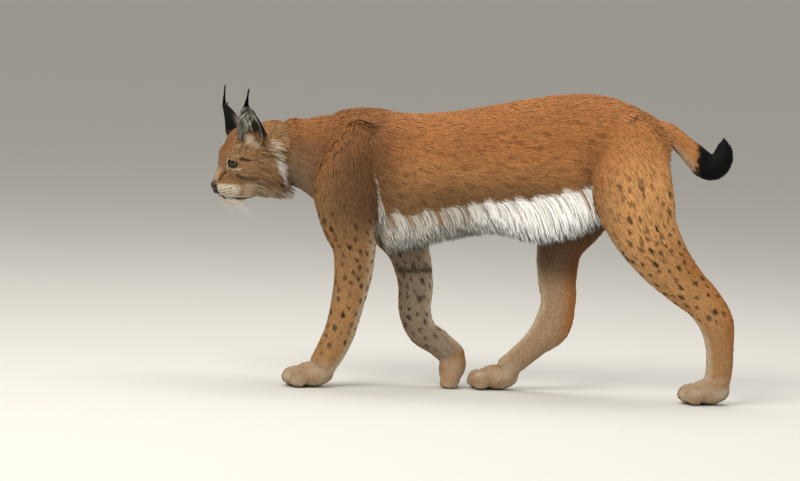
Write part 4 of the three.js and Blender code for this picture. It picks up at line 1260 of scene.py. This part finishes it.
def nose_field(p):
    """Distance to the bare nose with its nostrils and the crease between them, negative inside it."""
    both = folded(p)
    d = soften(ellipsoid(p, (-148, 0, -66), (13, 14, 10.5)), ellipsoid(p, (-147, 0, -76), (9, 7, 10)), 5)
    d = soften(d, ellipsoid(both, (-149, 9, -68), (8, 6, 7)), 4)
    hole = ellipsoid(both, (-160, 8.6, -69.5), (8, 3.6, 2.6))
    slit = ellipsoid(both, (-155, 13, -67.5), (7, 4.5, 1.5))
    crease = np.exp(-(p[:, 1] / 0.9) ** 2) * 0.9 * (p[:, 2] < -66)
    return crease - soften(-d, np.minimum(hole, slit), 2)


def nose_material():
    """Bare skin, always moist, so it has a broad soft shine. Its cells are about 1.1 mm, 900 a metre."""
    material, tree, shader = new_material("moist_nose_skin", Roughness=0.34)
    colour = node(tree, "ShaderNodeAttribute", {"attribute_name": "tint"})
    place = node(tree, "ShaderNodeTexCoord")
    cells = node(tree, "ShaderNodeTexVoronoi", {"Scale": 900.0}, {"Vector": place.outputs["Object"]})
    lift = node(tree, "ShaderNodeBump", {"Strength": 0.35, "Distance": 0.0006},
                {"Height": cells.outputs["Distance"]})
    tree.links.new(colour.outputs["Color"], shader.inputs["Base Color"])
    tree.links.new(lift.outputs["Normal"], shader.inputs["Normal"])
    return material


ball, faces = ball_points((0, 0, 0), (1, 1, 1), 90, 120)
way = ball[:, [2, 1, 0]] * [-1, 1, 1]
t = np.linspace(0, 26, 80)
inside = np.stack([nose_field(NOSE_CORE + way * s) for s in t], 1) < 0
near = t[len(t) - 1 - np.argmax(inside[:, ::-1], axis=1)]
points = leave(nose_field, NOSE_CORE, way, near, near + t[1], 8)
if ((points - NOSE_CORE) * normals_of(points, faces)).sum() < 0:
    faces = faces[:, ::-1]
nose = make_object("nose_pad", head_to_world(points), faces)
x, y, z = folded(points).T
holes = np.minimum(1, np.exp(-((y - 8.8) / 4) ** 2 - ((z + 69.5) / 3) ** 2) * 1.6)
black = np.clip(smooth(-66, -73, z) * 0.95 + holes * (x < -148), 0, 1)
tint(nose, lay(evenly("nose", len(points)), ("black", black)))
finish_piece(nose, nose_material(), "nose", "nose")


# Floor, light and camera.
def pale_floor(reach=60.0, sides=48):
    """A flat disc of pale matt paper, in metres, wide enough to fill the frame from every side."""
    ring = [(reach * math.cos(TAU * i / sides), reach * math.sin(TAU * i / sides), 0) for i in range(sides)]
    mesh = bpy.data.meshes.new("floor")
    mesh.from_pydata(ring, [], [list(range(sides))])
    floor = bpy.data.objects.new("floor", mesh)
    bpy.context.scene.collection.objects.link(floor)
    paper, _, _ = new_material("pale_paper", Base_Color=(*linear("cfcdc6"), 1), Roughness=0.9)
    floor.data.materials.append(paper)


pale_floor()


def area_light(name, place, target, size, power, colour=(1, 1, 1)):
    light = bpy.data.lights.new(name, "AREA")
    light.shape, light.size, light.size_y = "RECTANGLE", size, size * 0.7
    light.energy, light.color = power, colour
    obj = bpy.data.objects.new(name, light)
    obj.location = place
    obj.rotation_euler = (Vector(target) - Vector(place)).to_track_quat("-Z", "Y").to_euler()
    bpy.context.scene.collection.objects.link(obj)


area_light("key", (-1.6, -2.2, 3.0), (0, 0, 0.35), 2.2, 110, (1, 0.97, 0.92))
area_light("top", (0.3, 0.6, 3.4), (0, 0, 0.4), 3.0, 70)
area_light("fill", (2.4, -3.0, 1.2), (0, 0, 0.35), 2.6, 26, (0.95, 0.98, 1))
world = bpy.data.worlds.new("studio")
bpy.context.scene.world = world
world.use_nodes = True
sky = world.node_tree.nodes["Background"].inputs
sky["Color"].default_value, sky["Strength"].default_value = (1.0, 0.97, 0.93, 1), 0.5

# The photo's frame: 2.2 mm a pixel at the animal, its floor line slanting down to the right.
SCALE, SLANT, LOOK_DOWN, DISTANCE = 2.2, math.radians(2.7), math.radians(5), 9.0
PICTURE = (800, 481)  # pixels across and down
FLOOR_AT = (470, 391.8)  # the pixel of the solids' X = 0, Z = 0 before centring
SENSOR = 36
dx, dy = PICTURE[0] / 2 - FLOOR_AT[0], PICTURE[1] / 2 - FLOOR_AT[1]
look_x = SCALE * (dx * math.cos(SLANT) + dy * math.sin(SLANT))
look_z = SCALE * (dx * math.sin(SLANT) - dy * math.cos(SLANT))
target = Vector(((look_x + CENTRE[0]) / 1000, 0, look_z / 1000))
camera = bpy.data.objects.new("camera", bpy.data.cameras.new("camera"))
bpy.context.scene.collection.objects.link(camera)
away = Vector((0, -math.cos(LOOK_DOWN), math.sin(LOOK_DOWN)))
camera.matrix_world = (Matrix.Translation(target + away * DISTANCE)
                       @ (-away).to_track_quat("-Z", "Y").to_matrix().to_4x4()
                       @ Matrix.Rotation(SLANT, 4, "Z"))
camera.data.sensor_width = SENSOR
camera.data.lens = SENSOR * DISTANCE / (PICTURE[0] * SCALE / 1000)
camera.data.clip_end = 150
bpy.context.scene.camera = camera
bpy.context.scene.view_settings.view_transform = "Standard"
